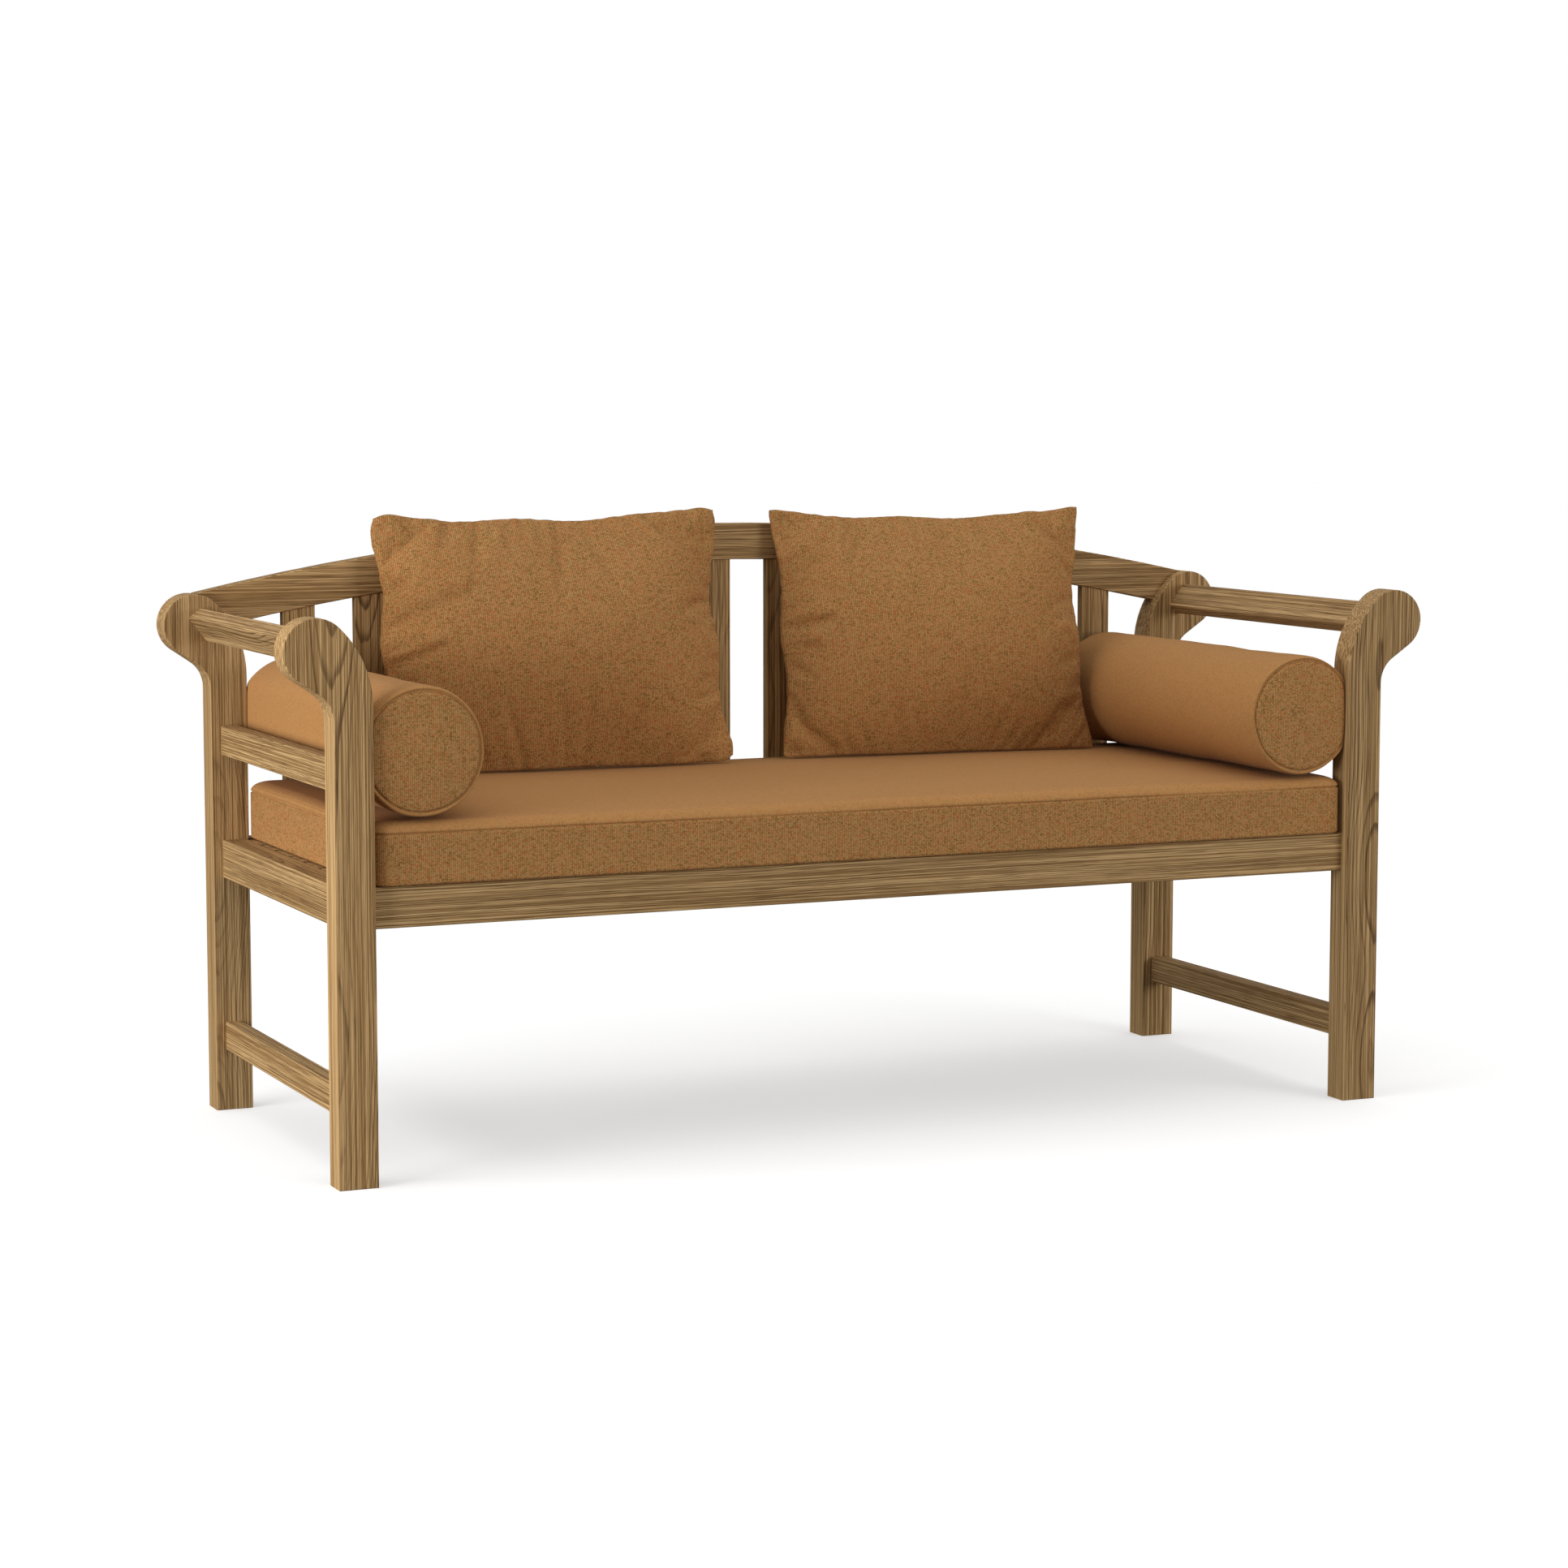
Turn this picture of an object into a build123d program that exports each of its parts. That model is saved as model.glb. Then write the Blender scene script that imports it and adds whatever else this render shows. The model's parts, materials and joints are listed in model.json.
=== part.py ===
from build123d import *
from collections import namedtuple
from math import acos, cos, degrees, radians, sin, sqrt
import os

# A slatted wooden daybed with scrolled ends, a loose seat cushion, two bolsters and two pillows.
# Sizes are in millimetres. +X runs to the right along the seat, -Y is the front and +Z is up.
# The origin is on the floor, under the middle of the seat.

# ---------------------------------------------------------------- overall frame
LEG_OUTER_X = 813.3  # outer face of every leg, from the middle of the seat
LEG_WIDTH = 55.0  # along X
LEG_DEPTH = 45.0  # along Y
FRAME_DEPTH = 658.3  # front face of the front legs to back face of the back legs
EDGE_EASE = 1.5  # the small round on every long edge of the timber

LEG_INNER_X = LEG_OUTER_X - LEG_WIDTH
LEG_FACE_Y = FRAME_DEPTH / 2 - LEG_DEPTH  # the faces of a front and a back leg that look at each other

# ---------------------------------------------------------------- scrolled head of a post
HEAD_RADIUS = 45.2
HEAD_OUT = 22.9  # centre of the head, outboard of the leg's outer face
HEAD_Z = 723.3
SHOULDER_RADIUS = 147.4  # the inner edge, where it leans away from the seat
NECK_RADIUS = 43.7  # the hollow under the head, on the outer side
NECK_ANGLE = 34.0  # slope of the flat between the head and the hollow, from horizontal

# ---------------------------------------------------------------- seat frame
SEAT_TOP_Z = 404.5
SEAT_RAIL_HEIGHT = 55.9
FRONT_RAIL_Y = -313.1  # its front face
FRONT_RAIL_THICK = 23.5
BACK_PLANE_Y = 301.0  # front face of the back rail and of the crest rail
BACK_THICK = 27.0

SEAT_RAIL_Z = SEAT_TOP_Z - SEAT_RAIL_HEIGHT

# ---------------------------------------------------------------- bars between two posts
# A bar runs along Y: its span in X, its span in Z, and the thickness and span in Z of its tenons.
SideBar = namedtuple("SideBar", "x_span z_span tenon_thick tenon_z")
SIDE_BARS = {
    "side_seat_rail": SideBar((762.2, 798.2), (SEAT_RAIL_Z, SEAT_TOP_Z), 14.0, (354.0, 374.0)),
    "arm_mid_rail": SideBar((774.6, 798.2), (530.7, 574.4), 12.0, (539.0, 566.0)),
    "side_stretcher": SideBar((773.6, 798.2), (90.5, 132.6), 12.0, (98.5, 124.5)),
}
BAR_TENON = 25.0

ARM_CENTRE = (821.9, 723.9)  # X and Z of the arm's top rail, inside the scrolled heads
ARM_WIDE = 44.0
ARM_THICK = 23.5
ARM_DROP = 52.6  # slope of its wide face towards the seat, from horizontal
ARM_TENON = (30.0, 10.0, 21.0)  # wide, thick, long

# ---------------------------------------------------------------- tenons of the long rails
LONG_TENON_Z = (380.0, 399.0)  # above the side rails' tenons, so that they pass in the post
LONG_TENON_THICK = 12.0
LONG_TENON = 25.0
FIT_GAP = 0.1  # a mortise is larger than its tenon by this on each side
GLUE_ROOM = 2.0  # and deeper by this

PIN_RADIUS = 4.0
PIN_GAP = 0.05
PIN_LENGTH = 32.0
PIN_SETBACK = 12.0  # from the mouth of the mortise to the pin

# ---------------------------------------------------------------- crest rail and back slats
CREST_TOP_Z = 859.0  # at the middle
CREST_HEIGHT = 56.2
CREST_RADIUS = 3860.0  # top edge; the lower edge is concentric
CREST_END_X = 829.0  # where its top edge all but meets the curve of the post's head
CREST_TENON = ((768.0, 811.0), (734.0, 749.0), 11.0)  # spans in X and Z, thickness

CREST_CENTRE_Z = CREST_TOP_Z - CREST_RADIUS
CREST_LOWER_RADIUS = CREST_RADIUS - CREST_HEIGHT

BACK_SLATS = 13
BACK_SLAT_PITCH = 112.0
BACK_SLAT_WIDE = 50.0
BACK_SLAT_THICK = 15.0
BACK_SLAT_SET = 2.5  # behind the crest rail's front face
SLAT_TENON = (40.0, 9.0, 12.0)  # wide, thick, long

SLAT_MIDDLE_Y = BACK_PLANE_Y + BACK_SLAT_SET + BACK_SLAT_THICK / 2

# ---------------------------------------------------------------- seat slats and what carries them
SEAT_SLATS = 8
SEAT_SLAT_WIDE = 57.3
SEAT_SLAT_GAP = 14.8
SEAT_SLAT_THICK = 15.0
SEAT_SLAT_END_X = 761.7
NOTCH_ROOM = 1.0  # between the front slat's notches and the posts
CLEAT_SIZE = 25.0
BEARER_X = 254.0
BEARER_WIDE = 45.0
BEARER_DEEP = 35.0
BEARER_TENON = (30.0, 20.0, 10.0)  # wide, high, long

SEAT_SLAT_FIRST_Y = FRONT_RAIL_Y + FRONT_RAIL_THICK + 0.3
SUPPORT_Z = SEAT_TOP_Z - SEAT_SLAT_THICK
CLEAT_SCREW_X = SIDE_BARS["side_seat_rail"].x_span[0] - CLEAT_SIZE / 2

SCREW_RADIUS = 2.1
SCREW_HEAD_RADIUS = 4.2
SCREW_TIP = 3.0
SCREW_GAP = 0.05
SCREW_SINK = 0.1  # its head stands this far below the wood
SINK_RADIUS = SCREW_HEAD_RADIUS + SCREW_SINK + SCREW_GAP
SLAT_SCREW_LENGTH = 34.0
CLEAT_SCREW_LENGTH = 45.0

# ---------------------------------------------------------------- soft parts
SOFT_GAP = 0.3  # left between a soft part and what it rests on
CUSHION_SIZE = (1513.0, 618.0, 89.0)
CUSHION_Y = -10.0
CUSHION_CORNER = 20.0
CUSHION_EDGE = 10.0

BOLSTER_RADIUS = 88.0
BOLSTER_X = 686.0
BOLSTER_Z = 584.5
BOLSTER_FRONT_Y = -321.0
BOLSTER_LENGTH = 618.0
BOLSTER_FLAT_X = 757.9  # pressed flat against the posts
BOLSTER_EDGE = 7.0

PILLOW_LEAN = 11.3  # degrees back from upright
PILLOW_CORNER = 28.0
PILLOW_FRONT = 60.0  # bulge in front of the seam
PILLOW_BACK = 38.0  # bulge behind it, pressed by the slats
PILLOW_FLAT = 0.5  # the flat of each bulge, as a share of the pillow
# Centre of the seam, size along the seam's two directions, and turn about the vertical.
Pillow = namedtuple("Pillow", "centre wide high turn")
PILLOWS = {
    "pillow_left": Pillow((-293.0, 236.0, 693.0), 545.0, 388.0, -2.6),
    "pillow_right": Pillow((338.0, 226.0, 688.0), 508.0, 380.0, -6.0),
}


# ---------------------------------------------------------------- helpers
def block(x_span, y_span, z_span, mode=Mode.ADD):
    """A square-cornered block in the part being built, from its span along each axis."""
    spans = (x_span, y_span, z_span)
    with Locations(tuple(sum(span) / 2 for span in spans)):
        Box(*(abs(span[1] - span[0]) for span in spans), mode=mode)


def rod(centre, length, radius, turn, mode=Mode.ADD):
    """A round rod in the part being built; turn lays it down from upright."""
    with Locations(centre):
        Cylinder(radius, length, rotation=turn, mode=mode)


ALONG_X = (0, 90, 0)
ALONG_Y = (90, 0, 0)


def wider(span, gap):
    """A span with a gap added at both ends, whichever way round it is given."""
    low, high = sorted(span)
    return (low - gap, high + gap)


def about(middle, size):
    """The span of a given size about its middle."""
    return (middle - size / 2, middle + size / 2)


def save(piece, name):
    """Label a finished piece and write its STEP file."""
    piece.part.label = name
    export_step(piece.part, f"parts/{name}.step")


def save_pair(right, name):
    """Write a right-hand piece and its mirror image."""
    with BuildPart() as left:
        mirror(right.part, about=Plane.YZ)
    save(right, f"{name}_right")
    save(left, f"{name}_left")


def crest_lower_z(x):
    """Height of the crest rail's lower edge at x."""
    return CREST_CENTRE_Z + sqrt(CREST_LOWER_RADIUS**2 - x**2)


def seat_slat_y(number):
    """Middle of a seat slat, counted from 0 at the front."""
    return SEAT_SLAT_FIRST_Y + SEAT_SLAT_WIDE / 2 + number * (SEAT_SLAT_WIDE + SEAT_SLAT_GAP)


def cleat_screw_ys():
    """Where the cleats are screwed on, under every second gap between two seat slats."""
    return [(seat_slat_y(number) + seat_slat_y(number + 1)) / 2 for number in range(0, SEAT_SLATS, 2)]


def back_slat_x(number):
    """Middle of a back slat, counted from 0 at the left."""
    return (number - (BACK_SLATS - 1) / 2) * BACK_SLAT_PITCH


os.makedirs("parts", exist_ok=True)

# ---------------------------------------------------------------- the scrolled outline
# Seen from the front, on the right-hand side: up the inner edge, round the shoulder into the
# head, over and under the head, down the flat into the neck, and down the outer face.
shoulder_rise = sqrt((SHOULDER_RADIUS - HEAD_RADIUS) ** 2 - (SHOULDER_RADIUS - LEG_WIDTH - HEAD_OUT) ** 2)
shoulder_turn = degrees(
    acos((SHOULDER_RADIUS - LEG_WIDTH - HEAD_OUT) / (SHOULDER_RADIUS - HEAD_RADIUS))
)
shoulder_z = HEAD_Z - shoulder_rise
head_turn = 270.0 - NECK_ANGLE - shoulder_turn
flat_start_x = HEAD_OUT + HEAD_RADIUS * sin(radians(NECK_ANGLE))
flat_end_x = NECK_RADIUS * (1 - sin(radians(NECK_ANGLE)))
flat_length = (flat_start_x - flat_end_x) / cos(radians(NECK_ANGLE))

with BuildSketch() as post_outline:
    with BuildLine() as outline:
        inner = Line((LEG_INNER_X, 0), (LEG_INNER_X, shoulder_z))
        shoulder = JernArc(inner @ 1, inner % 1, SHOULDER_RADIUS, -shoulder_turn)
        head = JernArc(shoulder @ 1, shoulder % 1, HEAD_RADIUS, -head_turn)
        flat = PolarLine(head @ 1, flat_length, direction=head % 1)
        neck = JernArc(flat @ 1, flat % 1, NECK_RADIUS, 90.0 - NECK_ANGLE)
        outer = Line(neck @ 1, (LEG_OUTER_X, 0))
        Line(outer @ 1, inner @ 0)
    make_face()


# ---------------------------------------------------------------- posts
def arm_plane(y):
    """The plane across the arm's top rail at y: its x runs up the wide face, its z runs back."""
    drop = radians(ARM_DROP)
    return Plane(origin=(ARM_CENTRE[0], y, ARM_CENTRE[1]), x_dir=(cos(drop), 0, sin(drop)), z_dir=(0, 1, 0))


def long_tenon_y(side):
    """Middle of the long rail's tenon in the front (-1) or back (+1) post."""
    if side < 0:
        return FRONT_RAIL_Y + FRONT_RAIL_THICK / 2
    return BACK_PLANE_Y + BACK_THICK / 2


def pin_through_long(side, radius, mode, hand=1):
    """The pin, or its hole, through a long rail's tenon: it goes in behind the side rail's end."""
    x = hand * (LEG_INNER_X + PIN_SETBACK)
    y = side * (LEG_FACE_Y + PIN_LENGTH / 2)
    rod((x, y, sum(LONG_TENON_Z) / 2), PIN_LENGTH, radius, ALONG_Y, mode)


def pin_through_side(side, radius, mode, hand=1):
    """The pin, or its hole, through a side rail's tenon: it goes in behind the long rail's end."""
    x = hand * (LEG_INNER_X + PIN_LENGTH / 2)
    y = side * (LEG_FACE_Y + PIN_SETBACK)
    rod((x, y, sum(SIDE_BARS["side_seat_rail"].tenon_z) / 2), PIN_LENGTH, radius, ALONG_X, mode)


def cut_post_joints(side):
    """Every mortise that the front (-1) and the back (+1) right-hand posts share."""
    reach = side * (LEG_FACE_Y + BAR_TENON + GLUE_ROOM)
    for bar in SIDE_BARS.values():
        thick = about(sum(bar.x_span) / 2, bar.tenon_thick + 2 * FIT_GAP)
        block(thick, (side * LEG_FACE_Y, reach), wider(bar.tenon_z, FIT_GAP), Mode.SUBTRACT)
    long_x = (LEG_INNER_X, LEG_INNER_X + LONG_TENON + GLUE_ROOM)
    long_y = about(long_tenon_y(side), LONG_TENON_THICK + 2 * FIT_GAP)
    block(long_x, long_y, wider(LONG_TENON_Z, FIT_GAP), Mode.SUBTRACT)
    pin_through_long(side, PIN_RADIUS + PIN_GAP, Mode.SUBTRACT)
    pin_through_side(side, PIN_RADIUS + PIN_GAP, Mode.SUBTRACT)
    with Locations(arm_plane(side * LEG_FACE_Y)):
        wide, thick, long = ARM_TENON
        Box(wide + 2 * FIT_GAP, thick + 2 * FIT_GAP, 2 * (long + GLUE_ROOM), mode=Mode.SUBTRACT)


with BuildPart() as post_front:
    with BuildSketch(Plane.XZ.offset(FRAME_DEPTH / 2)):
        add(post_outline.sketch)
    extrude(amount=-LEG_DEPTH)
    fillet(post_front.faces().filter_by(Axis.Y).edges(), EDGE_EASE)
    cut_post_joints(-1)
save_pair(post_front, "post_front")

with BuildPart() as post_back:
    with BuildSketch(Plane.XZ.offset(-LEG_FACE_Y)):
        add(post_outline.sketch)
    extrude(amount=-LEG_DEPTH)
    fillet(post_back.faces().filter_by(Axis.Y).edges(), EDGE_EASE)
    cut_post_joints(1)
    crest_y = about(BACK_PLANE_Y + BACK_THICK / 2, CREST_TENON[2] + 2 * FIT_GAP)
    crest_x = (CREST_TENON[0][0], CREST_TENON[0][1] + GLUE_ROOM)
    block(crest_x, crest_y, wider(CREST_TENON[1], FIT_GAP), Mode.SUBTRACT)
save_pair(post_back, "post_back")

# ---------------------------------------------------------------- bars along Y at each end
for bar_name, bar in SIDE_BARS.items():
    with BuildPart() as side_bar:
        block(bar.x_span, (-LEG_FACE_Y, LEG_FACE_Y), bar.z_span)
        fillet(side_bar.edges().filter_by(Axis.Y), EDGE_EASE)
        reach = LEG_FACE_Y + BAR_TENON
        block(about(sum(bar.x_span) / 2, bar.tenon_thick), (-reach, reach), bar.tenon_z)
        if bar_name == "side_seat_rail":
            pin_through_side(-1, PIN_RADIUS + PIN_GAP, Mode.SUBTRACT)
            pin_through_side(1, PIN_RADIUS + PIN_GAP, Mode.SUBTRACT)
            screw_depth = CLEAT_SCREW_LENGTH - CLEAT_SIZE + GLUE_ROOM
            for y in cleat_screw_ys():
                inner_face = (bar.x_span[0], y, SUPPORT_Z - CLEAT_SIZE / 2)
                with Locations(Plane(origin=inner_face, z_dir=(-1, 0, 0))):
                    Hole(SCREW_RADIUS + SCREW_GAP, screw_depth)
    save_pair(side_bar, bar_name)

with BuildPart() as arm_top_rail:
    with BuildSketch(arm_plane(-LEG_FACE_Y)):
        Rectangle(ARM_WIDE, ARM_THICK)
    extrude(amount=2 * LEG_FACE_Y)
    fillet(arm_top_rail.edges().filter_by(Axis.Y), EDGE_EASE)
    with BuildSketch(arm_plane(-LEG_FACE_Y - ARM_TENON[2])):
        Rectangle(ARM_TENON[0], ARM_TENON[1])
    extrude(amount=2 * (LEG_FACE_Y + ARM_TENON[2]))
save_pair(arm_top_rail, "arm_top_rail")


# ---------------------------------------------------------------- long rails under the seat
def long_rail_ends(side):
    """The tenons at both ends of the front (-1) or back (+1) seat rail, with their pin holes."""
    reach = LEG_INNER_X + LONG_TENON
    block((-reach, reach), about(long_tenon_y(side), LONG_TENON_THICK), LONG_TENON_Z)
    for hand in (-1, 1):
        pin_through_long(side, PIN_RADIUS + PIN_GAP, Mode.SUBTRACT, hand)


def bearer_mortises(face_y, side):
    """Pockets for the two cross bearers in a long rail's inner face."""
    wide, high, long = BEARER_TENON
    for x in (-BEARER_X, BEARER_X):
        depth = (face_y, face_y + side * (long + GLUE_ROOM))
        middle_z = SUPPORT_Z - BEARER_DEEP / 2
        block(about(x, wide + 2 * FIT_GAP), depth, about(middle_z, high + 2 * FIT_GAP), Mode.SUBTRACT)


with BuildPart() as front_seat_rail:
    front_y_span = (FRONT_RAIL_Y, FRONT_RAIL_Y + FRONT_RAIL_THICK)
    block((-LEG_INNER_X, LEG_INNER_X), front_y_span, (SEAT_RAIL_Z, SEAT_TOP_Z))
    fillet(front_seat_rail.edges().filter_by(Axis.X), EDGE_EASE)
    long_rail_ends(-1)
    bearer_mortises(front_y_span[1], -1)
save(front_seat_rail, "front_seat_rail")

with BuildPart() as back_seat_rail:
    back_y_span = (BACK_PLANE_Y, BACK_PLANE_Y + BACK_THICK)
    block((-LEG_INNER_X, LEG_INNER_X), back_y_span, (SEAT_RAIL_Z, SEAT_TOP_Z))
    fillet(back_seat_rail.edges().filter_by(Axis.X), EDGE_EASE)
    long_rail_ends(1)
    bearer_mortises(back_y_span[0], 1)
    for number in range(BACK_SLATS):
        wide, thick, long = SLAT_TENON
        slat_x = about(back_slat_x(number), wide + 2 * FIT_GAP)
        slat_y = about(SLAT_MIDDLE_Y, thick + 2 * FIT_GAP)
        block(slat_x, slat_y, (SEAT_TOP_Z - long - GLUE_ROOM, SEAT_TOP_Z), Mode.SUBTRACT)
save(back_seat_rail, "back_seat_rail")

# ---------------------------------------------------------------- crest rail
with BuildPart() as crest_rail:
    with BuildSketch(Plane.XZ.offset(-BACK_PLANE_Y)):
        with Locations((0, CREST_CENTRE_Z)):
            Circle(CREST_RADIUS)
            Circle(CREST_LOWER_RADIUS, mode=Mode.SUBTRACT)
        with Locations((0, CREST_TOP_Z)):
            Rectangle(2 * CREST_END_X, 6 * CREST_HEIGHT, mode=Mode.INTERSECT)
        add(post_outline.sketch, mode=Mode.SUBTRACT)
        mirror(post_outline.sketch, about=Plane.YZ, mode=Mode.SUBTRACT)
    extrude(amount=-BACK_THICK)
    fillet(crest_rail.edges().filter_by(GeomType.CIRCLE).sort_by(SortBy.LENGTH)[-4:], EDGE_EASE)
    for hand in (-1, 1):
        crest_tenon_x = (hand * CREST_TENON[0][0], hand * CREST_TENON[0][1])
        block(crest_tenon_x, about(BACK_PLANE_Y + BACK_THICK / 2, CREST_TENON[2]), CREST_TENON[1])
    for number in range(BACK_SLATS):
        wide, thick, long = SLAT_TENON
        x = back_slat_x(number)
        top_z = crest_lower_z(x) + long + GLUE_ROOM
        slat_y = about(SLAT_MIDDLE_Y, thick + 2 * FIT_GAP)
        block(about(x, wide + 2 * FIT_GAP), slat_y, (crest_lower_z(x) - long, top_z), Mode.SUBTRACT)
save(crest_rail, "crest_rail")

# ---------------------------------------------------------------- back slats
for number in range(BACK_SLATS):
    x = back_slat_x(number)
    left_x, right_x = about(x, BACK_SLAT_WIDE)
    wide, thick, long = SLAT_TENON
    with BuildPart() as back_slat:
        with BuildSketch(Plane.XZ.offset(-BACK_PLANE_Y - BACK_SLAT_SET)):
            with BuildLine():
                foot = Line((left_x, SEAT_TOP_Z), (right_x, SEAT_TOP_Z))
                right_edge = Line(foot @ 1, (right_x, crest_lower_z(right_x)))
                shoulder_arc = ThreePointArc(
                    right_edge @ 1, (x, crest_lower_z(x)), (left_x, crest_lower_z(left_x))
                )
                Line(shoulder_arc @ 1, foot @ 0)
            make_face()
        extrude(amount=-BACK_SLAT_THICK)
        fillet(back_slat.edges().filter_by(Axis.Z), EDGE_EASE)
        tenon_z = (SEAT_TOP_Z - long, crest_lower_z(x) + long)
        block(about(x, wide), about(SLAT_MIDDLE_Y, thick), tenon_z)
    save(back_slat, f"back_slat_{number + 1:02d}")

# ---------------------------------------------------------------- seat slats and their supports
screw_xs = (-CLEAT_SCREW_X, -BEARER_X, BEARER_X, CLEAT_SCREW_X)

for number in range(SEAT_SLATS):
    y = seat_slat_y(number)
    with BuildPart() as seat_slat:
        block((-SEAT_SLAT_END_X, SEAT_SLAT_END_X), about(y, SEAT_SLAT_WIDE), (SUPPORT_Z, SEAT_TOP_Z))
        fillet(seat_slat.edges().filter_by(Axis.X).group_by(Axis.Z)[-1], EDGE_EASE)
        with Locations(*((screw_x, y, SEAT_TOP_Z) for screw_x in screw_xs)):
            CounterSinkHole(SCREW_RADIUS + SCREW_GAP, SINK_RADIUS, SEAT_SLAT_THICK, 90)
        if number == 0:
            # the front slat is notched round the two front posts
            for hand in (-1, 1):
                notch_x = (hand * (LEG_INNER_X - NOTCH_ROOM), hand * LEG_OUTER_X)
                notch_y = (-FRAME_DEPTH / 2, -LEG_FACE_Y + NOTCH_ROOM)
                block(notch_x, notch_y, (SEAT_RAIL_Z, SEAT_TOP_Z), Mode.SUBTRACT)
    save(seat_slat, f"seat_slat_{number + 1}")

slat_screw_hole = SLAT_SCREW_LENGTH - SEAT_SLAT_THICK + GLUE_ROOM

with BuildPart() as slat_cleat:
    inner_x = SIDE_BARS["side_seat_rail"].x_span[0]
    block((inner_x - CLEAT_SIZE, inner_x), (-LEG_FACE_Y, LEG_FACE_Y), (SUPPORT_Z - CLEAT_SIZE, SUPPORT_Z))
    with Locations(*((CLEAT_SCREW_X, seat_slat_y(number), SUPPORT_Z) for number in range(SEAT_SLATS))):
        Hole(SCREW_RADIUS + SCREW_GAP, slat_screw_hole)
    for y in cleat_screw_ys():
        free_face = (inner_x - CLEAT_SIZE, y, SUPPORT_Z - CLEAT_SIZE / 2)
        with Locations(Plane(origin=free_face, z_dir=(-1, 0, 0))):
            CounterSinkHole(SCREW_RADIUS + SCREW_GAP, SINK_RADIUS, CLEAT_SIZE, 90)
save_pair(slat_cleat, "slat_cleat")

with BuildPart() as cross_bearer:
    bearer_y = (FRONT_RAIL_Y + FRONT_RAIL_THICK, BACK_PLANE_Y)
    block(about(BEARER_X, BEARER_WIDE), bearer_y, (SUPPORT_Z - BEARER_DEEP, SUPPORT_Z))
    fillet(cross_bearer.edges().filter_by(Axis.Y).group_by(Axis.Z)[0], EDGE_EASE)
    tenon_middle_z = SUPPORT_Z - BEARER_DEEP / 2
    wide, high, long = BEARER_TENON
    block(about(BEARER_X, wide), wider(bearer_y, long), about(tenon_middle_z, high))
    with Locations(*((BEARER_X, seat_slat_y(number), SUPPORT_Z) for number in range(SEAT_SLATS))):
        Hole(SCREW_RADIUS + SCREW_GAP, slat_screw_hole)
save_pair(cross_bearer, "cross_bearer")


# ---------------------------------------------------------------- screws and pins
def screw_solid(length):
    """A countersunk wood screw, its head's top at the origin and its point down."""
    with BuildPart() as screw:
        with BuildSketch(Plane.XZ):
            with BuildLine():
                Polyline(
                    (0, 0),
                    (SCREW_HEAD_RADIUS, 0),
                    (SCREW_RADIUS, SCREW_RADIUS - SCREW_HEAD_RADIUS),
                    (SCREW_RADIUS, SCREW_TIP - length),
                    (0, -length),
                    close=True,
                )
            make_face()
        revolve(axis=Axis.Z)
    return screw.part


slat_screw = screw_solid(SLAT_SCREW_LENGTH)
with BuildPart() as slat_screws:
    for number in range(SEAT_SLATS):
        with Locations(*((x, seat_slat_y(number), SEAT_TOP_Z - SCREW_SINK) for x in screw_xs)):
            add(slat_screw)
save(slat_screws, "slat_screws")

cleat_screw = screw_solid(CLEAT_SCREW_LENGTH)
with BuildPart() as cleat_screws:
    for y in cleat_screw_ys():
        for hand in (-1, 1):
            head_x = hand * (inner_x - CLEAT_SIZE + SCREW_SINK)
            head = Plane(origin=(head_x, y, SUPPORT_Z - CLEAT_SIZE / 2), z_dir=(-hand, 0, 0))
            with Locations(head):
                add(cleat_screw)
save(cleat_screws, "cleat_screws")

with BuildPart() as tenon_pins:
    for side in (-1, 1):
        for hand in (-1, 1):
            pin_through_long(side, PIN_RADIUS, Mode.ADD, hand)
            pin_through_side(side, PIN_RADIUS, Mode.ADD, hand)
save(tenon_pins, "tenon_pins")

# ---------------------------------------------------------------- soft parts
with BuildPart() as seat_cushion:
    with BuildSketch(Plane.XY.offset(SEAT_TOP_Z + SOFT_GAP)):
        with Locations((0, CUSHION_Y)):
            RectangleRounded(CUSHION_SIZE[0], CUSHION_SIZE[1], CUSHION_CORNER)
    extrude(amount=CUSHION_SIZE[2])
    fillet(seat_cushion.edges().group_by(Axis.Z)[-1], CUSHION_EDGE)
save(seat_cushion, "seat_cushion")

with BuildPart() as bolster:
    with BuildSketch(Plane.XZ.offset(-BOLSTER_FRONT_Y)):
        with Locations((BOLSTER_X, BOLSTER_Z)):
            Circle(BOLSTER_RADIUS)
        with Locations((BOLSTER_FLAT_X - 2 * BOLSTER_RADIUS, BOLSTER_Z)):
            Rectangle(4 * BOLSTER_RADIUS, 4 * BOLSTER_RADIUS, mode=Mode.INTERSECT)
    extrude(amount=-BOLSTER_LENGTH)
    fillet(bolster.faces().filter_by(Axis.Y).edges(), BOLSTER_EDGE)
save_pair(bolster, "bolster")

for name, size in PILLOWS.items():
    lean = Rotation(0, 0, size.turn) * Rotation(-PILLOW_LEAN, 0, 0) * Rotation(90, 0, 0)
    seam = Plane(Pos(*size.centre) * lean)
    with BuildPart() as pillow:
        for bulge, share in ((-PILLOW_BACK, PILLOW_FLAT), (0, 1), (PILLOW_FRONT, PILLOW_FLAT)):
            with BuildSketch(seam.offset(bulge)):
                RectangleRounded(size.wide * share, size.high * share, PILLOW_CORNER)
        loft(ruled=True)
    save(pillow, name)
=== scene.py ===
# %% [markdown]
# # A slatted daybed, dressed
# The timber frame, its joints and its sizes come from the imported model, and nothing here moves
# them. This lesson gives the timber its grain, sews and stuffs the five loose cushions, and sets
# up the camera and the lights. Every length is in metres unless a name says otherwise.

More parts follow.
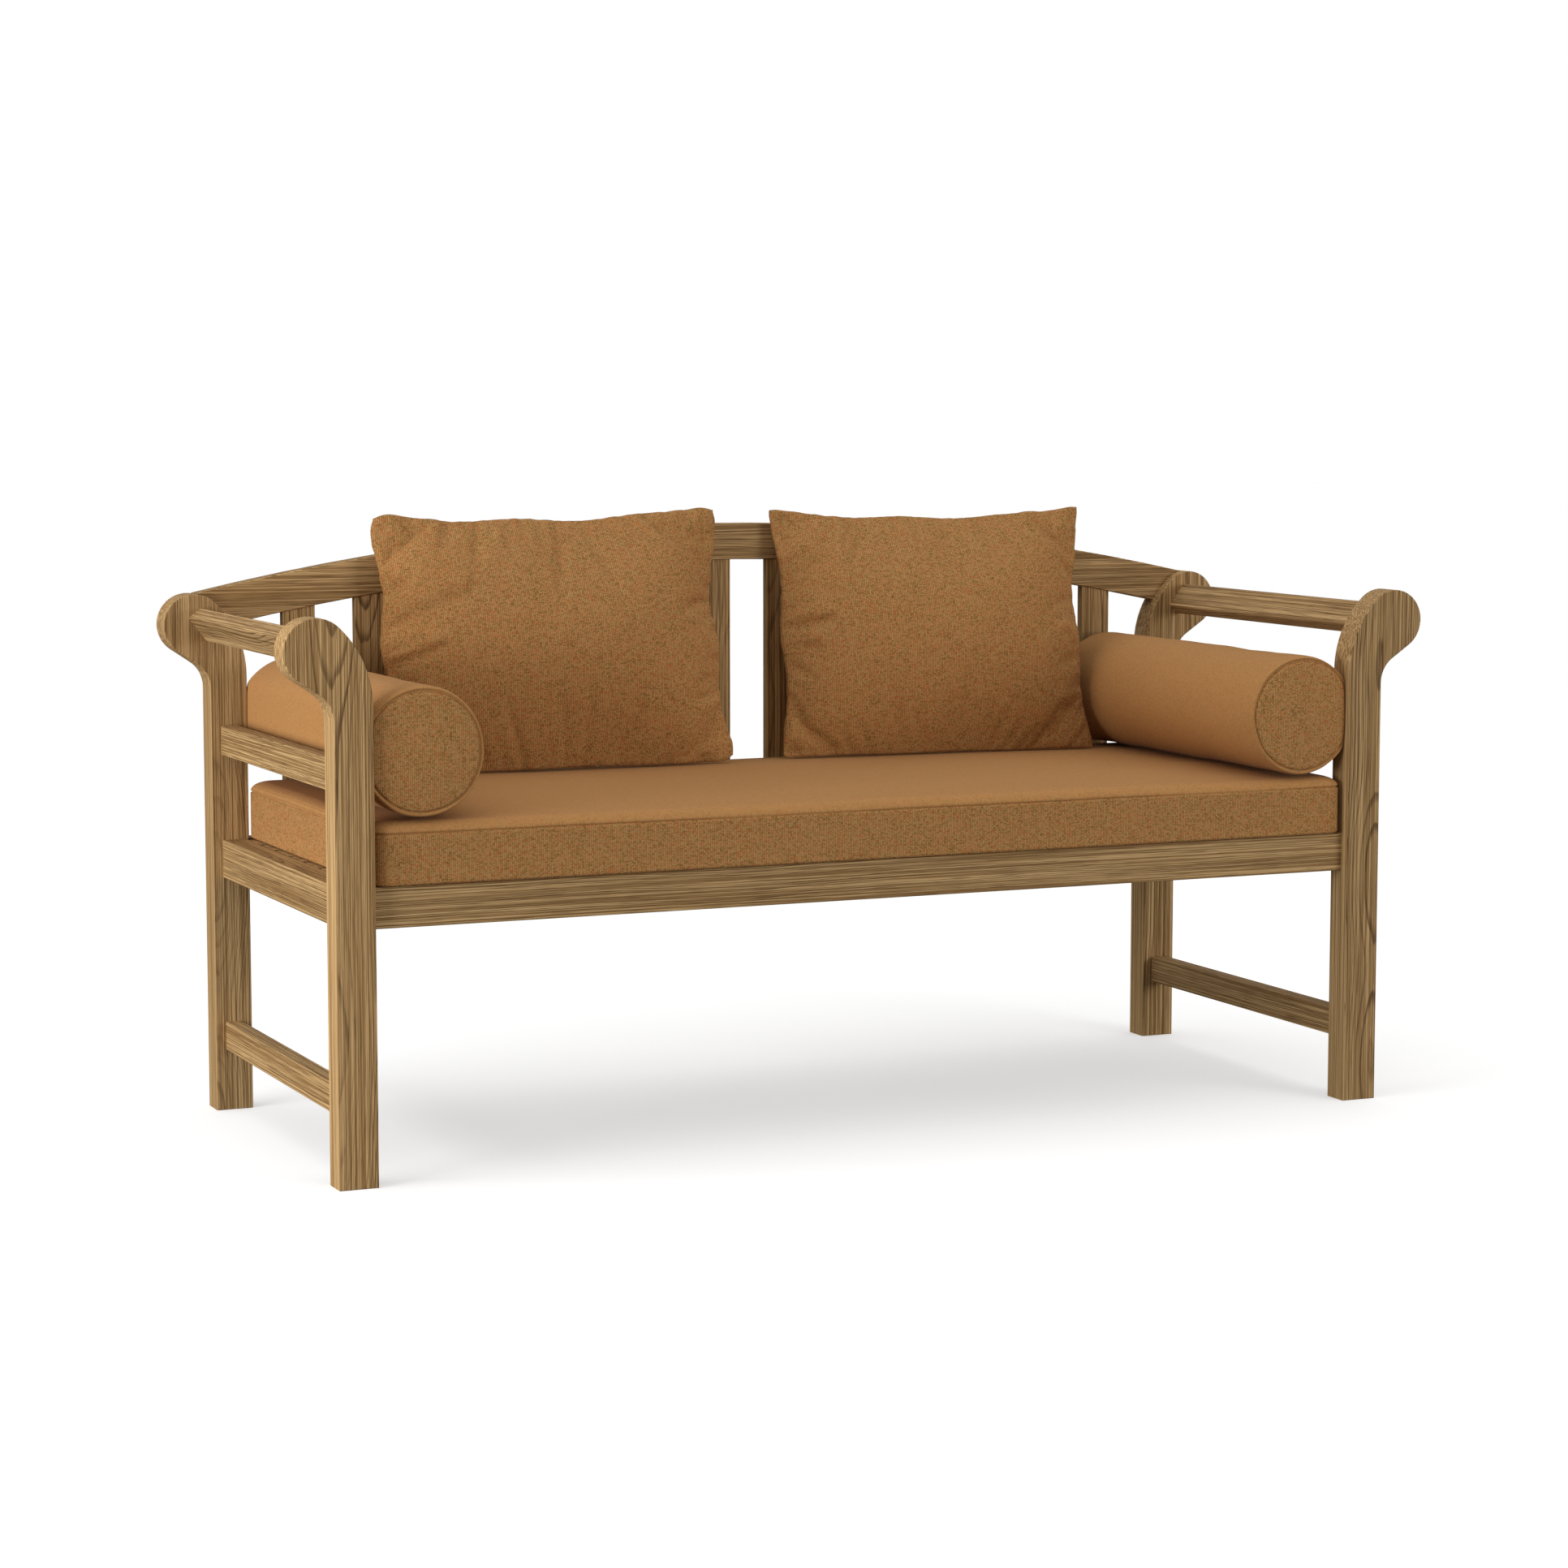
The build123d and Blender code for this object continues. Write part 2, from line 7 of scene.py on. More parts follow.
# %% Load the frame
import bmesh
import bpy
import json
import math
import numpy as np
from mathutils.kdtree import KDTree
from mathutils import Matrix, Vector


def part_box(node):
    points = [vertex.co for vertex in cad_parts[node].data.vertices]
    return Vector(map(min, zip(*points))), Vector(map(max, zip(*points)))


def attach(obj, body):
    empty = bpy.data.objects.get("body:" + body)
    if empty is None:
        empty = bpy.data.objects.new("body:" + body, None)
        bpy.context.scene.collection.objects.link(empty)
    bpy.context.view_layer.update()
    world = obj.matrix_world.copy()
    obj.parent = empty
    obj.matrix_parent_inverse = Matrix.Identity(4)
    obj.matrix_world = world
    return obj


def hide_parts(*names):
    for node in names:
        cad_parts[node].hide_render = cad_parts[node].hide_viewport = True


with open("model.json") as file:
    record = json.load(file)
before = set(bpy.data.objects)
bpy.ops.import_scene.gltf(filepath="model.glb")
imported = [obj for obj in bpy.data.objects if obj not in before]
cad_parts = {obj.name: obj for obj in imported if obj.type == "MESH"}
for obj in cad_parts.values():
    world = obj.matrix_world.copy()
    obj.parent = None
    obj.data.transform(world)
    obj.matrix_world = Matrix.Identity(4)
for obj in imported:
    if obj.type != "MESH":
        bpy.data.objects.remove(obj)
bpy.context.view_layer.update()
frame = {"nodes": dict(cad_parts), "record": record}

# %% [markdown]
# ## The camera
# A long lens, stood off to the left and a little above the seat, keeps the verticals nearly
# parallel and shows the front, the top of the cushion and the outside of the left arm in one look.

# %% Camera
CAMERA_PLACE = (-2.2608, -5.0623, 1.0756)
CAMERA_DOWN = 6.121  # degrees below level
CAMERA_TURN = 23.898  # degrees towards +X from straight ahead
LENS_MM = 85.8
SENSOR_MM = 36.0
FAR_CLIP = 60.0

lens = bpy.data.cameras.new("camera")
lens.lens = LENS_MM
lens.sensor_width = SENSOR_MM
lens.clip_end = FAR_CLIP
camera = bpy.data.objects.new("camera", lens)
camera.location = CAMERA_PLACE
camera.rotation_euler = (math.radians(90 - CAMERA_DOWN), 0, math.radians(-CAMERA_TURN))
bpy.context.scene.collection.objects.link(camera)
bpy.context.scene.camera = camera
print("camera at", CAMERA_PLACE, "lens", LENS_MM, "mm")

# %% [markdown]
# ## Floor and light
# A studio sweep is white everywhere the camera looks. The light itself is a sky, weak at the
# horizon and strong overhead, with a weaker glow from below for what a floor throws back, so that
# the undersides keep their depth. A broad panel on the left, too low to cast much on the floor,
# models the timber's side faces, and a weaker one in front, to the right, lifts the front faces.

# %% Floor and light
HORIZON = 0.03
ZENITH = 1.45
FLOOR_GLOW = 0.18
LEFT_PANEL = dict(place=(-3.5, -0.8, 0.75), aim=(0.0, -0.2, 0.55), size=(2.4, 1.3), power=92.0)
FRONT_PANEL = dict(place=(3.0, -4.6, 1.2), aim=(0.6, 0.0, 0.6), size=(2.4, 1.4), power=88.0)

world = bpy.data.worlds.new("studio")
world.use_nodes = True
sky = world.node_tree
sky.nodes.clear()


def sky_node(kind, **settings):
    """A node of the sky, with its settings."""
    made = sky.nodes.new(kind)
    for setting, value in settings.items():
        setattr(made, setting, value)
    return made


upward = sky_node("ShaderNodeSeparateXYZ")
sky.links.new(sky_node("ShaderNodeTexCoord").outputs["Generated"], upward.inputs[0])
rise = sky_node("ShaderNodeMapRange")
rise.inputs["From Min"].default_value, rise.inputs["From Max"].default_value = 0.0, 1.0
rise.inputs["To Min"].default_value, rise.inputs["To Max"].default_value = HORIZON, ZENITH
above = sky_node("ShaderNodeMath", operation="GREATER_THAN")
above.inputs[1].default_value = 0.0
level = sky_node("ShaderNodeMix")
level.inputs["A"].default_value = FLOOR_GLOW
glow = sky_node("ShaderNodeBackground")
white = sky_node("ShaderNodeBackground")
white.inputs["Color"].default_value = (1, 1, 1, 1)
seen = sky_node("ShaderNodeMixShader")
sky.links.new(upward.outputs["Z"], rise.inputs["Value"])
sky.links.new(upward.outputs["Z"], above.inputs[0])
sky.links.new(above.outputs[0], level.inputs["Factor"])
sky.links.new(rise.outputs["Result"], level.inputs["B"])
sky.links.new(level.outputs["Result"], glow.inputs["Strength"])
sky.links.new(sky_node("ShaderNodeLightPath").outputs["Is Camera Ray"], seen.inputs["Fac"])
sky.links.new(glow.outputs[0], seen.inputs[1])
sky.links.new(white.outputs[0], seen.inputs[2])
sky.links.new(seen.outputs[0], sky_node("ShaderNodeOutputWorld").inputs["Surface"])
bpy.context.scene.world = world
bpy.context.scene.view_settings.view_transform = "Standard"


def light_panel(name, place, aim, size, power):
    """A rectangular soft box at a place, turned to face a point."""
    data = bpy.data.lights.new(name, "AREA")
    data.shape = "RECTANGLE"
    data.size, data.size_y = size
    data.energy = power
    panel = bpy.data.objects.new(name, data)
    panel.location = place
    direction = panel.location - type(panel.location)(aim)
    panel.rotation_euler = direction.to_track_quat("Z", "Y").to_euler()
    bpy.context.scene.collection.objects.link(panel)


light_panel("left_panel", **LEFT_PANEL)
light_panel("front_panel", **FRONT_PANEL)
print("sky from", HORIZON, "to", ZENITH, "and two panels")

# %% [markdown]
# ## Shader arithmetic in plain Python
# A pattern reads best as a formula. The `Wire` class wraps a shader socket, and Python's own
# operators add the Math nodes. `Recipe` holds one material, and its one method `node` makes any
# other node from its type, its settings and the values or wires of its sockets.

# %% Wires and recipes
class Wire:
    """A number on its way through a shader; arithmetic on it adds Math nodes."""

    def __init__(self, recipe, socket):
        self.recipe = recipe
        self.socket = socket

    def math(self, operation, *others):
        """A Math node on this wire and the others."""
        sockets = {place: value for place, value in enumerate((self, *others))}
        return self.recipe.node("ShaderNodeMath", {"operation": operation}, sockets)

    def __add__(self, other):
        return self.math("ADD", other)

    def __sub__(self, other):
        return self.math("SUBTRACT", other)

    def __rsub__(self, other):
        return self.math("MULTIPLY", -1.0).math("ADD", other)

    def __mul__(self, other):
        return self.math("MULTIPLY", other)

    def __truediv__(self, other):
        return self.math("DIVIDE", other)

    def __pow__(self, other):
        return self.math("POWER", other)

    __radd__ = __add__
    __rmul__ = __mul__


class Recipe:
    """One material, written as a recipe of nodes."""

    def __init__(self, name):
        self.material = bpy.data.materials.new(name)
        self.material.use_nodes = True
        self.tree = self.material.node_tree
        self.tree.nodes.clear()

    def node(self, kind, settings=None, sockets=None, output=0):
        """A node of a kind: its settings first, then its sockets' values or wires."""
        made = self.tree.nodes.new(kind)
        for setting, value in (settings or {}).items():
            if setting == "stops":
                while len(made.color_ramp.elements) < len(value):
                    made.color_ramp.elements.new(0.5)
                for element, (position, colour) in zip(made.color_ramp.elements, value):
                    element.position = position
                    element.color = (*colour, 1.0)
            else:
                setattr(made, setting, value)
        for place, value in (sockets or {}).items():
            if isinstance(value, Wire):
                self.tree.links.new(value.socket, made.inputs[place])
            else:
                made.inputs[place].default_value = value
        return Wire(self, made.outputs[output]) if made.outputs else None

    def parts(self, vector):
        """The three parts of a vector, as wires."""
        split = self.node("ShaderNodeSeparateXYZ", None, {0: vector})
        outputs = split.socket.node.outputs
        return [Wire(self, outputs[place]) for place in range(3)]

    def vector(self, x, y, z):
        """Three wires or numbers as one vector."""
        return self.node("ShaderNodeCombineXYZ", None, {0: x, 1: y, 2: z})

    def noise(self, vector, scale=1.0, detail=2.0, roughness=0.5, distortion=0.0):
        """Smooth noise about 0.5 at a place given by a vector."""
        sockets = {
            "Vector": vector, "Scale": scale, "Detail": detail,
            "Roughness": roughness, "Distortion": distortion,
        }
        return self.node("ShaderNodeTexNoise", None, sockets)

    def ramp(self, value, *stops):
        """A colour for every value, from stops of a position and a colour."""
        return self.node("ShaderNodeValToRGB", {"stops": stops}, {0: value})

    def remap(self, value, low, high, to_low=0.0, to_high=1.0):
        """A smooth step of a value from one range to another, clamped at both ends."""
        sockets = {0: value, 1: low, 2: high, 3: to_low, 4: to_high}
        return self.node("ShaderNodeMapRange", {"interpolation_type": "SMOOTHSTEP"}, sockets)

    def blend(self, factor, first, second, way="MIX"):
        """Two colours mixed; colours go through Mix, because Math turns them grey."""
        settings = {"data_type": "RGBA", "blend_type": way}
        return self.node("ShaderNodeMix", settings, {0: factor, 6: first, 7: second}, output=2)

    def finish(self, bump, depth, constants, **varying):
        """Bump, shader and output; returns the material."""
        normal = self.node(
            "ShaderNodeBump", None, {"Strength": 1.0, "Distance": depth, "Height": bump}
        )
        sockets = {**constants, **{key.replace("_", " "): value for key, value in varying.items()}}
        shader = self.node("ShaderNodeBsdfPrincipled", None, {**sockets, "Normal": normal})
        self.node("ShaderNodeOutputMaterial", None, {"Surface": shader})
        return self.material


def linear(red, green, blue):
    """A colour given as 0-255 display values, as the linear numbers that shaders use."""
    values = np.array((red, green, blue)) / 255.0
    bent = np.where(values <= 0.04045, values / 12.92, ((values + 0.055) / 1.055) ** 2.4)
    return tuple(float(value) for value in bent)


def tint(red, green, blue):
    """A display colour as an opaque shader colour."""
    return (*linear(red, green, blue), 1.0)


# %% [markdown]
# ## Floor finish
# The floor only has to catch a soft shadow. It glows a little by itself, so that the shadow stays
# pale, and it is hidden from bounced light, because the sky's lower half already stands for that.

# %% Floor
FLOOR_HALF = 30.0
FLOOR_WHITE = 0.74
FLOOR_EMISSION = 0.42
GRIT_SCALE = 3.0
GRIT_DEPTH = 0.0001

floor_mesh = bpy.data.meshes.new("floor")
corners = [(-1, -1), (1, -1), (1, 1), (-1, 1)]
floor_points = [(x * FLOOR_HALF, y * FLOOR_HALF, 0.0) for x, y in corners]
floor_mesh.from_pydata(floor_points, [], [(0, 1, 2, 3)])
floor = bpy.data.objects.new("floor", floor_mesh)
bpy.context.scene.collection.objects.link(floor)

paint = Recipe("floor_white")
coordinates = paint.node("ShaderNodeTexCoord", None, None, output=3)
grit = paint.noise(coordinates, GRIT_SCALE)
floor_look = {
    "Base Color": (FLOOR_WHITE, FLOOR_WHITE, FLOOR_WHITE, 1), "Specular IOR Level": 0.0,
    "Emission Color": (1, 1, 1, 1), "Emission Strength": FLOOR_EMISSION,
}
floor_mesh.materials.append(
    paint.finish(grit, GRIT_DEPTH, floor_look, Roughness=grit * 0.1 + 0.85)
)
floor.visible_diffuse = False
floor.visible_glossy = False
print("floor:", 2 * FLOOR_HALF, "m square")

# %% [markdown]
# ## Timber
# Wire-brushed timber shows two things: growth rings, which run the length of the board and open
# into arches where the saw cut them flat, and the fine brushed fibres between them. Both are
# solid patterns, so they wrap round an edge as real grain does. A board's rings are the distance
# from the pith, a line beside the board, bent by slow noise; the fibres and the pores are fine
# noise drawn out many times along the board. Each board gets its own pith, so no two match.

# %% Timber recipe
RING_PITCH = 0.0024
FIBRE_PER_METRE = 480.0
PORE_PER_METRE = 760.0
BAND_PER_METRE = 90.0
SWAY_DEPTH = 0.022  # how far slow noise bends the rings sideways
RISE_DEPTH = 0.036  # and towards the pith, which opens the arches
WAVER_RINGS = 0.7
PALE_WOOD = (206, 169, 117)
MIDDLE_WOOD = (142, 107, 63)
LATE_WOOD = (80, 54, 24)
PIT_WOOD = (70, 44, 19)
STREAK_STRENGTH = 0.95
BAND_STRENGTH = 0.45
LATE_STRENGTH = 0.72
PIT_STRENGTH = 0.7
BRUSHED_DEPTH = 0.0005


def timber(name, along, pith, shade=1.0, seed=0.0, calm_rims=False):
    """Solid grain along one axis: a ring's number is the distance from the pith over the ring
    pitch, and its late wood is the last third of each ring; fibres and pores run along it."""
    recipe = Recipe(name)
    place = recipe.node("ShaderNodeTexCoord", None, None, output=3)
    x, y, z = recipe.parts(place)
    length, across, depth = {"X": (x, y, z), "Y": (y, x, z), "Z": (z, x, y)}[along]
    length = length + seed

    sway = recipe.noise(recipe.vector(length * 1.3, across * 3.0, depth * 3.0), 1.0, 1.0)
    rise = recipe.noise(recipe.vector(length * 2.4, across * 2.0, seed), 1.0, 1.0)
    waver = recipe.noise(recipe.vector(length * 6.0, across * 60.0, depth * 60.0), 1.0, 2.0)
    side = across - pith[0] + (sway - 0.5) * SWAY_DEPTH
    back = depth - pith[1] + (rise - 0.5) * RISE_DEPTH
    reach = (side * side + back * back) ** 0.5
    rings = reach / RING_PITCH + (waver - 0.5) * WAVER_RINGS
    ring = rings.math("FRACT")
    late = recipe.remap(ring, 0.55, 0.88) * (1.0 - recipe.remap(ring, 0.90, 1.0))
    strong = recipe.noise(recipe.vector(rings * 0.37, seed, length * 0.6), 1.0, 1.0)
    late = late * recipe.remap(strong, 0.35, 0.65, 0.3, 1.0)

    fibre = recipe.noise(
        recipe.vector(length * 1.8, across * FIBRE_PER_METRE, depth * FIBRE_PER_METRE),
        1.0, 2.0, 0.6,
    )
    band = recipe.noise(
        recipe.vector(length * 1.4, across * BAND_PER_METRE, depth * BAND_PER_METRE), 1.0, 2.0
    )
    pore = recipe.noise(
        recipe.vector(length * 16.0, across * PORE_PER_METRE, depth * PORE_PER_METRE), 1.0, 1.0
    )
    pits = recipe.remap(pore, 0.53, 0.64) * (0.45 + late * 0.55)
    streak = recipe.remap(fibre, 0.40, 0.60)

    # a post's rims are sawn across the rings, so they show hardly any figure
    figure = 1.0
    if calm_rims:
        facing = recipe.node("ShaderNodeNewGeometry", None, None, output=1)
        rim = recipe.parts(facing)[1].math("ABSOLUTE")
        figure = recipe.remap(rim, 0.3, 0.8, 0.22, 1.0)

    woods = (PALE_WOOD, MIDDLE_WOOD, LATE_WOOD, PIT_WOOD)
    pale, middle, dark, pit = (tint(*(channel * shade for channel in wood)) for wood in woods)
    ground = recipe.blend(streak * STREAK_STRENGTH, pale, middle)
    banded = recipe.remap(band, 0.42, 0.72)
    ground = recipe.blend(banded * BAND_STRENGTH * figure, ground, middle)
    ground = recipe.blend(late * LATE_STRENGTH * figure, ground, dark)
    colour = recipe.blend(pits * PIT_STRENGTH * figure, ground, pit)

    height = 0.5 - streak * 0.5 - pits * 0.7 - late * 0.25
    rough = 0.68 + pits * 0.2
    constants = {"Specular IOR Level": 0.2}
    return recipe.finish(height, BRUSHED_DEPTH, constants, Base_Color=colour, Roughness=rough)


# %% [markdown]
# ## Which way each board runs
# A joiner lays the grain along the length of every piece: up the posts and back slats, along the
# rails and seat slats, and front to back in the side bars. The longest side of each node's box
# says which way that is. The pith's place is drawn from a seeded generator, less than a hand's
# width behind the board's middle, and hardly off to one side on the posts, so that their faces
# show arches.

# %% Give every board its timber
POST_SPREAD = 0.012
BOARD_SPREAD = 0.035
PITH_BEHIND = (0.045, 0.090)
DECK_SHADE = 1.06
BOARD_SHADES = (0.94, 1.03)

draw = np.random.default_rng(11)
slot_of = {entry["node"]: entry["material_slot"] for entry in frame["record"]["subparts"]}
boards = [node for node, slot in slot_of.items() if slot in ("timber", "deck_timber")]

for node in sorted(boards):
    low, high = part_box(node)
    size = high - low
    middle = (low + high) / 2
    along = "XYZ"[int(np.argmax(size))]
    first, second = {"X": (1, 2), "Y": (0, 2), "Z": (0, 1)}[along]
    is_post = node.startswith("post_")
    span = POST_SPREAD if is_post else BOARD_SPREAD
    aside = middle[first] + draw.uniform(-span, span)
    pith = (aside, middle[second] + draw.uniform(*PITH_BEHIND))
    shade = DECK_SHADE if slot_of[node] == "deck_timber" else draw.uniform(*BOARD_SHADES)
    finish = timber(f"timber_{node}", along, pith, shade, draw.uniform(0, 50), is_post)
    data = frame["nodes"][node].data
    data.materials.clear()
    data.materials.append(finish)
print("boards finished:", len(boards))

# %% [markdown]
# ## Screws
# The screws that hold the seat slats are zinc-plated steel. They show only when the seat cushion
# is lifted off, as small bright rings in their countersinks.

# %% Screw steel
HAZE_SCALE = 900.0
HAZE_DEPTH = 0.00005

steel = Recipe("screw_steel")
spot = steel.node("ShaderNodeTexCoord", None, None, output=3)
haze = steel.noise(spot, HAZE_SCALE, 2.0)
steel_finish = steel.finish(
    haze, HAZE_DEPTH, {"Metallic": 1.0},
    Base_Color=steel.blend(haze, tint(150, 148, 140), tint(205, 203, 196)),
    Roughness=haze * 0.25 + 0.25,
)
for node in ("slat_screws", "cleat_screws"):
    data = frame["nodes"][node].data
    data.materials.clear()
    data.materials.append(steel_finish)
print("screws finished")

# %% [markdown]
# ## Cover cloth
# All the covers are cut from one heavy melange cloth: thick ribs up the cloth, tied by a finer
# thread across, spun from tan, rust, olive and dark brown fibres. The weave is worked out on the
# piece's own UV map, which is in metres of cloth, so that it follows every curve. A rib is a
# half sine across the cloth, its ties are offset from rib to rib like bricks, and each tie takes
# its yarn colour from white noise at its own number.

# %% Cloth recipe
RIB_PITCH = 0.0028
TIE_PITCH = 0.0014
RIB_WANDER = 0.0010
TIE_WANDER = 0.0009
TIE_SHARE = 0.28  # how much of the weave's height its ties take
CLOTH_BODY = (180, 131, 79)
# painted shade: the colour that the weave's hollows are darkened towards
CLOTH_HOLLOW_SHADE = (112, 70, 28)
YARNS = (
    (0.12, (104, 74, 32)), (0.26, (140, 112, 60)), (0.40, (176, 136, 86)),
    (0.64, (190, 146, 94)), (0.76, (188, 120, 72)), (0.90, (170, 80, 42)),
)
WEAVE_DEPTH = 0.0004


def cover_cloth(name, fleck, seed):
    """Ribs and ties on the UV map: a half sine over each rib, times a shallower one over each
    tie. Fleck is how strongly the yarn colours show."""
    recipe = Recipe(name)
    flat = recipe.node("ShaderNodeUVMap", {"uv_map": "cloth"})
    u, v, _ = recipe.parts(flat)
    wander = recipe.noise(recipe.vector(u * 40.0, v * 40.0, seed), 1.0, 1.0) - 0.5
    rib = (u + wander * RIB_WANDER) / RIB_PITCH
    number = rib.math("FLOOR")
    tie = (v + wander * TIE_WANDER) / TIE_PITCH + number * 0.5
    tie_number = tie.math("FLOOR")
    rib_round = (rib.math("FRACT") * math.pi).math("SINE")
    tie_round = (tie.math("FRACT") * math.pi).math("SINE")
    weave = rib_round * ((1 - TIE_SHARE) + tie_round * TIE_SHARE)

    yarn = recipe.node(
        "ShaderNodeTexWhiteNoise", {"noise_dimensions": "3D"},
        {"Vector": recipe.vector(number, tie_number, seed)},
    )
    drift = recipe.noise(recipe.vector(u * 34.0, v * 26.0, seed + 4.0), 1.0, 3.0, 0.6)
    mood = yarn * 0.72 + drift * 0.28
    shade = recipe.ramp(mood, *((place, linear(*colour)) for place, colour in YARNS))
    cloth = recipe.blend(fleck, tint(*CLOTH_BODY), shade)
    filled = recipe.remap(weave, 0.05, 0.75)
    # painted shade: the weave's low places, between ribs and ties, are darkened in the colour,
    # more where the flecks are strong
    colour = recipe.blend((1.0 - filled) * (0.12 + 0.6 * fleck), cloth, tint(*CLOTH_HOLLOW_SHADE))
    height = weave + yarn * 0.2
    depth = WEAVE_DEPTH * (0.4 + fleck)
    constants = {"Sheen Weight": 0.03, "Sheen Roughness": 0.5, "Specular IOR Level": 0.06}
    rough = 0.88 + yarn * 0.1
    return recipe.finish(height, depth, constants, Base_Color=colour, Roughness=rough)


cloth_face = cover_cloth("cover_cloth_face", fleck=0.68, seed=3.0)
cloth_top = cover_cloth("cover_cloth_top", fleck=0.22, seed=9.0)
print("cloths:", cloth_face.name, cloth_top.name)

# %% [markdown]
# ## Sewing a skin
# Every soft piece is a skin of panels, and every panel is a grid of points worked out with numpy.
# One helper lays the panels' points and faces in whole arrays, writes the UV map in metres of
# cloth, welds the panels where their edges meet, closes the poles, and turns the faces outwards.

# %% Skin helper
SEAM_WELD = 2e-5
RIPPLE_WAVES = 6
MOST_MARKS = 40


def panel(points, cloth, number=0):
    """A panel: its grid of points, each cell's four corners and cloth places, and a material
    number. A cell at row r, column c joins the points at r, c and r + 1, c + 1."""
    rows, columns = points.shape[:2]
    row, column = np.meshgrid(np.arange(rows - 1), np.arange(columns - 1), indexing="ij")
    first = (row * columns + column).ravel()
    faces = np.stack((first, first + 1, first + columns + 1, first + columns), axis=1)
    return points.reshape(-1, 3), faces, cloth.reshape(-1, 2)[faces], np.full(len(faces), number)


def sew(name, *panels):
    """One closed mesh from panels whose edges meet."""
    starts = np.cumsum([0] + [len(points) for points, *_ in panels])
    points = np.concatenate([points for points, *_ in panels])
    faces = np.concatenate([faces + start for (_, faces, *_), start in zip(panels, starts)])
    cloth = np.concatenate([cloth.reshape(-1, 2) for _, _, cloth, _ in panels])
    mesh = bpy.data.meshes.new(name)
    mesh.vertices.add(len(points))
    mesh.vertices.foreach_set("co", points.ravel())
    mesh.loops.add(faces.size)
    mesh.loops.foreach_set("vertex_index", faces.ravel())
    mesh.polygons.add(len(faces))
    mesh.polygons.foreach_set("loop_start", np.arange(len(faces)) * 4)
    numbers = np.concatenate([number for *_, number in panels])
    mesh.polygons.foreach_set("material_index", numbers)
    mesh.update(calc_edges=True)
    mesh.uv_layers.new(name="cloth").data.foreach_set("uv", cloth.ravel())
    work = bmesh.new()
    work.from_mesh(mesh)
    bmesh.ops.remove_doubles(work, verts=work.verts, dist=SEAM_WELD)
    bmesh.ops.recalc_face_normals(work, faces=work.faces)
    open_edges = sum(not edge.is_manifold for edge in work.edges)
    work.to_mesh(mesh)
    work.free()
    mesh.polygons.foreach_set("use_smooth", np.ones(len(mesh.polygons), bool))
    piece = bpy.data.objects.new(name, mesh)
    bpy.context.scene.collection.objects.link(piece)
    print(name, "faces:", len(mesh.polygons), "open edges:", open_edges)
    return piece


def finish_soft(piece, body, node, materials):
    """Give a soft piece its cloth and its body, and hide the plain solid that it stands for."""
    for material in materials:
        piece.data.materials.append(material)
    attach(piece, body)
    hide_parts(node)


def ripple(points, scale, seed):
    """Smooth, repeatable unevenness, from about -1 to 1: the sum of six sine waves of a point's
    distance along seeded directions, over three."""
    source = np.random.default_rng(seed)
    total = np.zeros(points.shape[:-1])
    for _ in range(RIPPLE_WAVES):
        direction = source.normal(size=3)
        direction /= np.linalg.norm(direction)
        wave = source.uniform(0.6, 1.6) * 2 * math.pi / scale
        total += np.sin(points @ direction * wave + source.uniform(0, 2 * math.pi))
    return total / (RIPPLE_WAVES / 2)


def seam_marks(start, end, seam, fine=0.0005, ratio=1.5):
    """Places from start to end that crowd towards the seam, where the groove needs them: the
    steps from the seam grow by the same ratio each time."""
    reach = max(abs(start - seam), abs(end - seam))
    steps = fine * ratio ** np.arange(MOST_MARKS)
    steps = steps[steps < reach]
    marks = np.concatenate((seam - steps[::-1], [seam], seam + steps))
    inside = marks[(marks > min(start, end)) & (marks < max(start, end))]
    return np.concatenate(([start], inside if start < end else inside[::-1], [end]))


# %% [markdown]
# ## Seat cushion
# The seat is a foam slab in a boxed cover: a top panel turned down over the foam's edge, a band of
# boxing round the sides, and a seam between them that bites in a little. Each panel is a profile
# carried round a rounded rectangle: a point of the profile is so far in from the outline and so
# high. First comes the outline, with a spine along the middle that the panels shrink towards.

# %% Cushion outline
CUSHION_CORNER = 0.021
CORNER_STEPS = 9
OUTLINE_STEP = 0.011


def rounded_outline(half_x, half_y, corner, spacing):
    """Points round a rounded rectangle, the same on opposite sides, and the length walked to
    each: a corner's point is its centre plus the radius times the cosine and sine of an angle."""
    runs = []
    straight = {0: half_y - corner, 1: half_x - corner}
    for quarter, (sign_x, sign_y) in enumerate(((1, -1), (1, 1), (-1, 1), (-1, -1))):
        angle = math.radians(-90 + 90 * quarter) + np.linspace(0, math.pi / 2, CORNER_STEPS)
        centre = np.array((sign_x * (half_x - corner), sign_y * (half_y - corner)))
        runs.append(centre + corner * np.stack((np.cos(angle), np.sin(angle)), axis=1))
        reach = straight[quarter % 2]
        steps = np.linspace(-reach, reach, round(2 * reach / spacing) + 1)[1:-1]
        side = (half_x, half_y)[quarter % 2]
        run = np.stack((np.full(len(steps), side), steps), axis=1)
        run = run if quarter % 2 == 0 else np.stack((-steps, np.full(len(steps), side)), axis=1)
        runs.append(run if quarter < 2 else -run)
    outline = np.concatenate(runs + [runs[0][:1]])
    paces = np.linalg.norm(np.diff(outline, axis=0), axis=1)
    return outline, np.concatenate(([0.0], np.cumsum(paces)))


low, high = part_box("seat_cushion")
cushion_centre = np.array(((low.x + high.x) / 2, (low.y + high.y) / 2))
half = np.array(((high.x - low.x) / 2, (high.y - low.y) / 2))
under_z = low.z
outline, walked = rounded_outline(half[0], half[1], CUSHION_CORNER, OUTLINE_STEP)
spine_x = np.clip(outline[:, 0], half[1] - half[0], half[0] - half[1])
spine = np.stack((spine_x, 0 * outline[:, 1]), axis=1)
print("cushion outline:", len(outline), "points,", round(walked[-1], 3), "m round")

# %% [markdown]
# ## Foam's swell and seam's bite
# The foam pushes the band out in a slight belly and crowns the top, the seam pulls the cloth in by
# two millimetres, and slow ripples of about a millimetre keep the cushion from looking moulded.

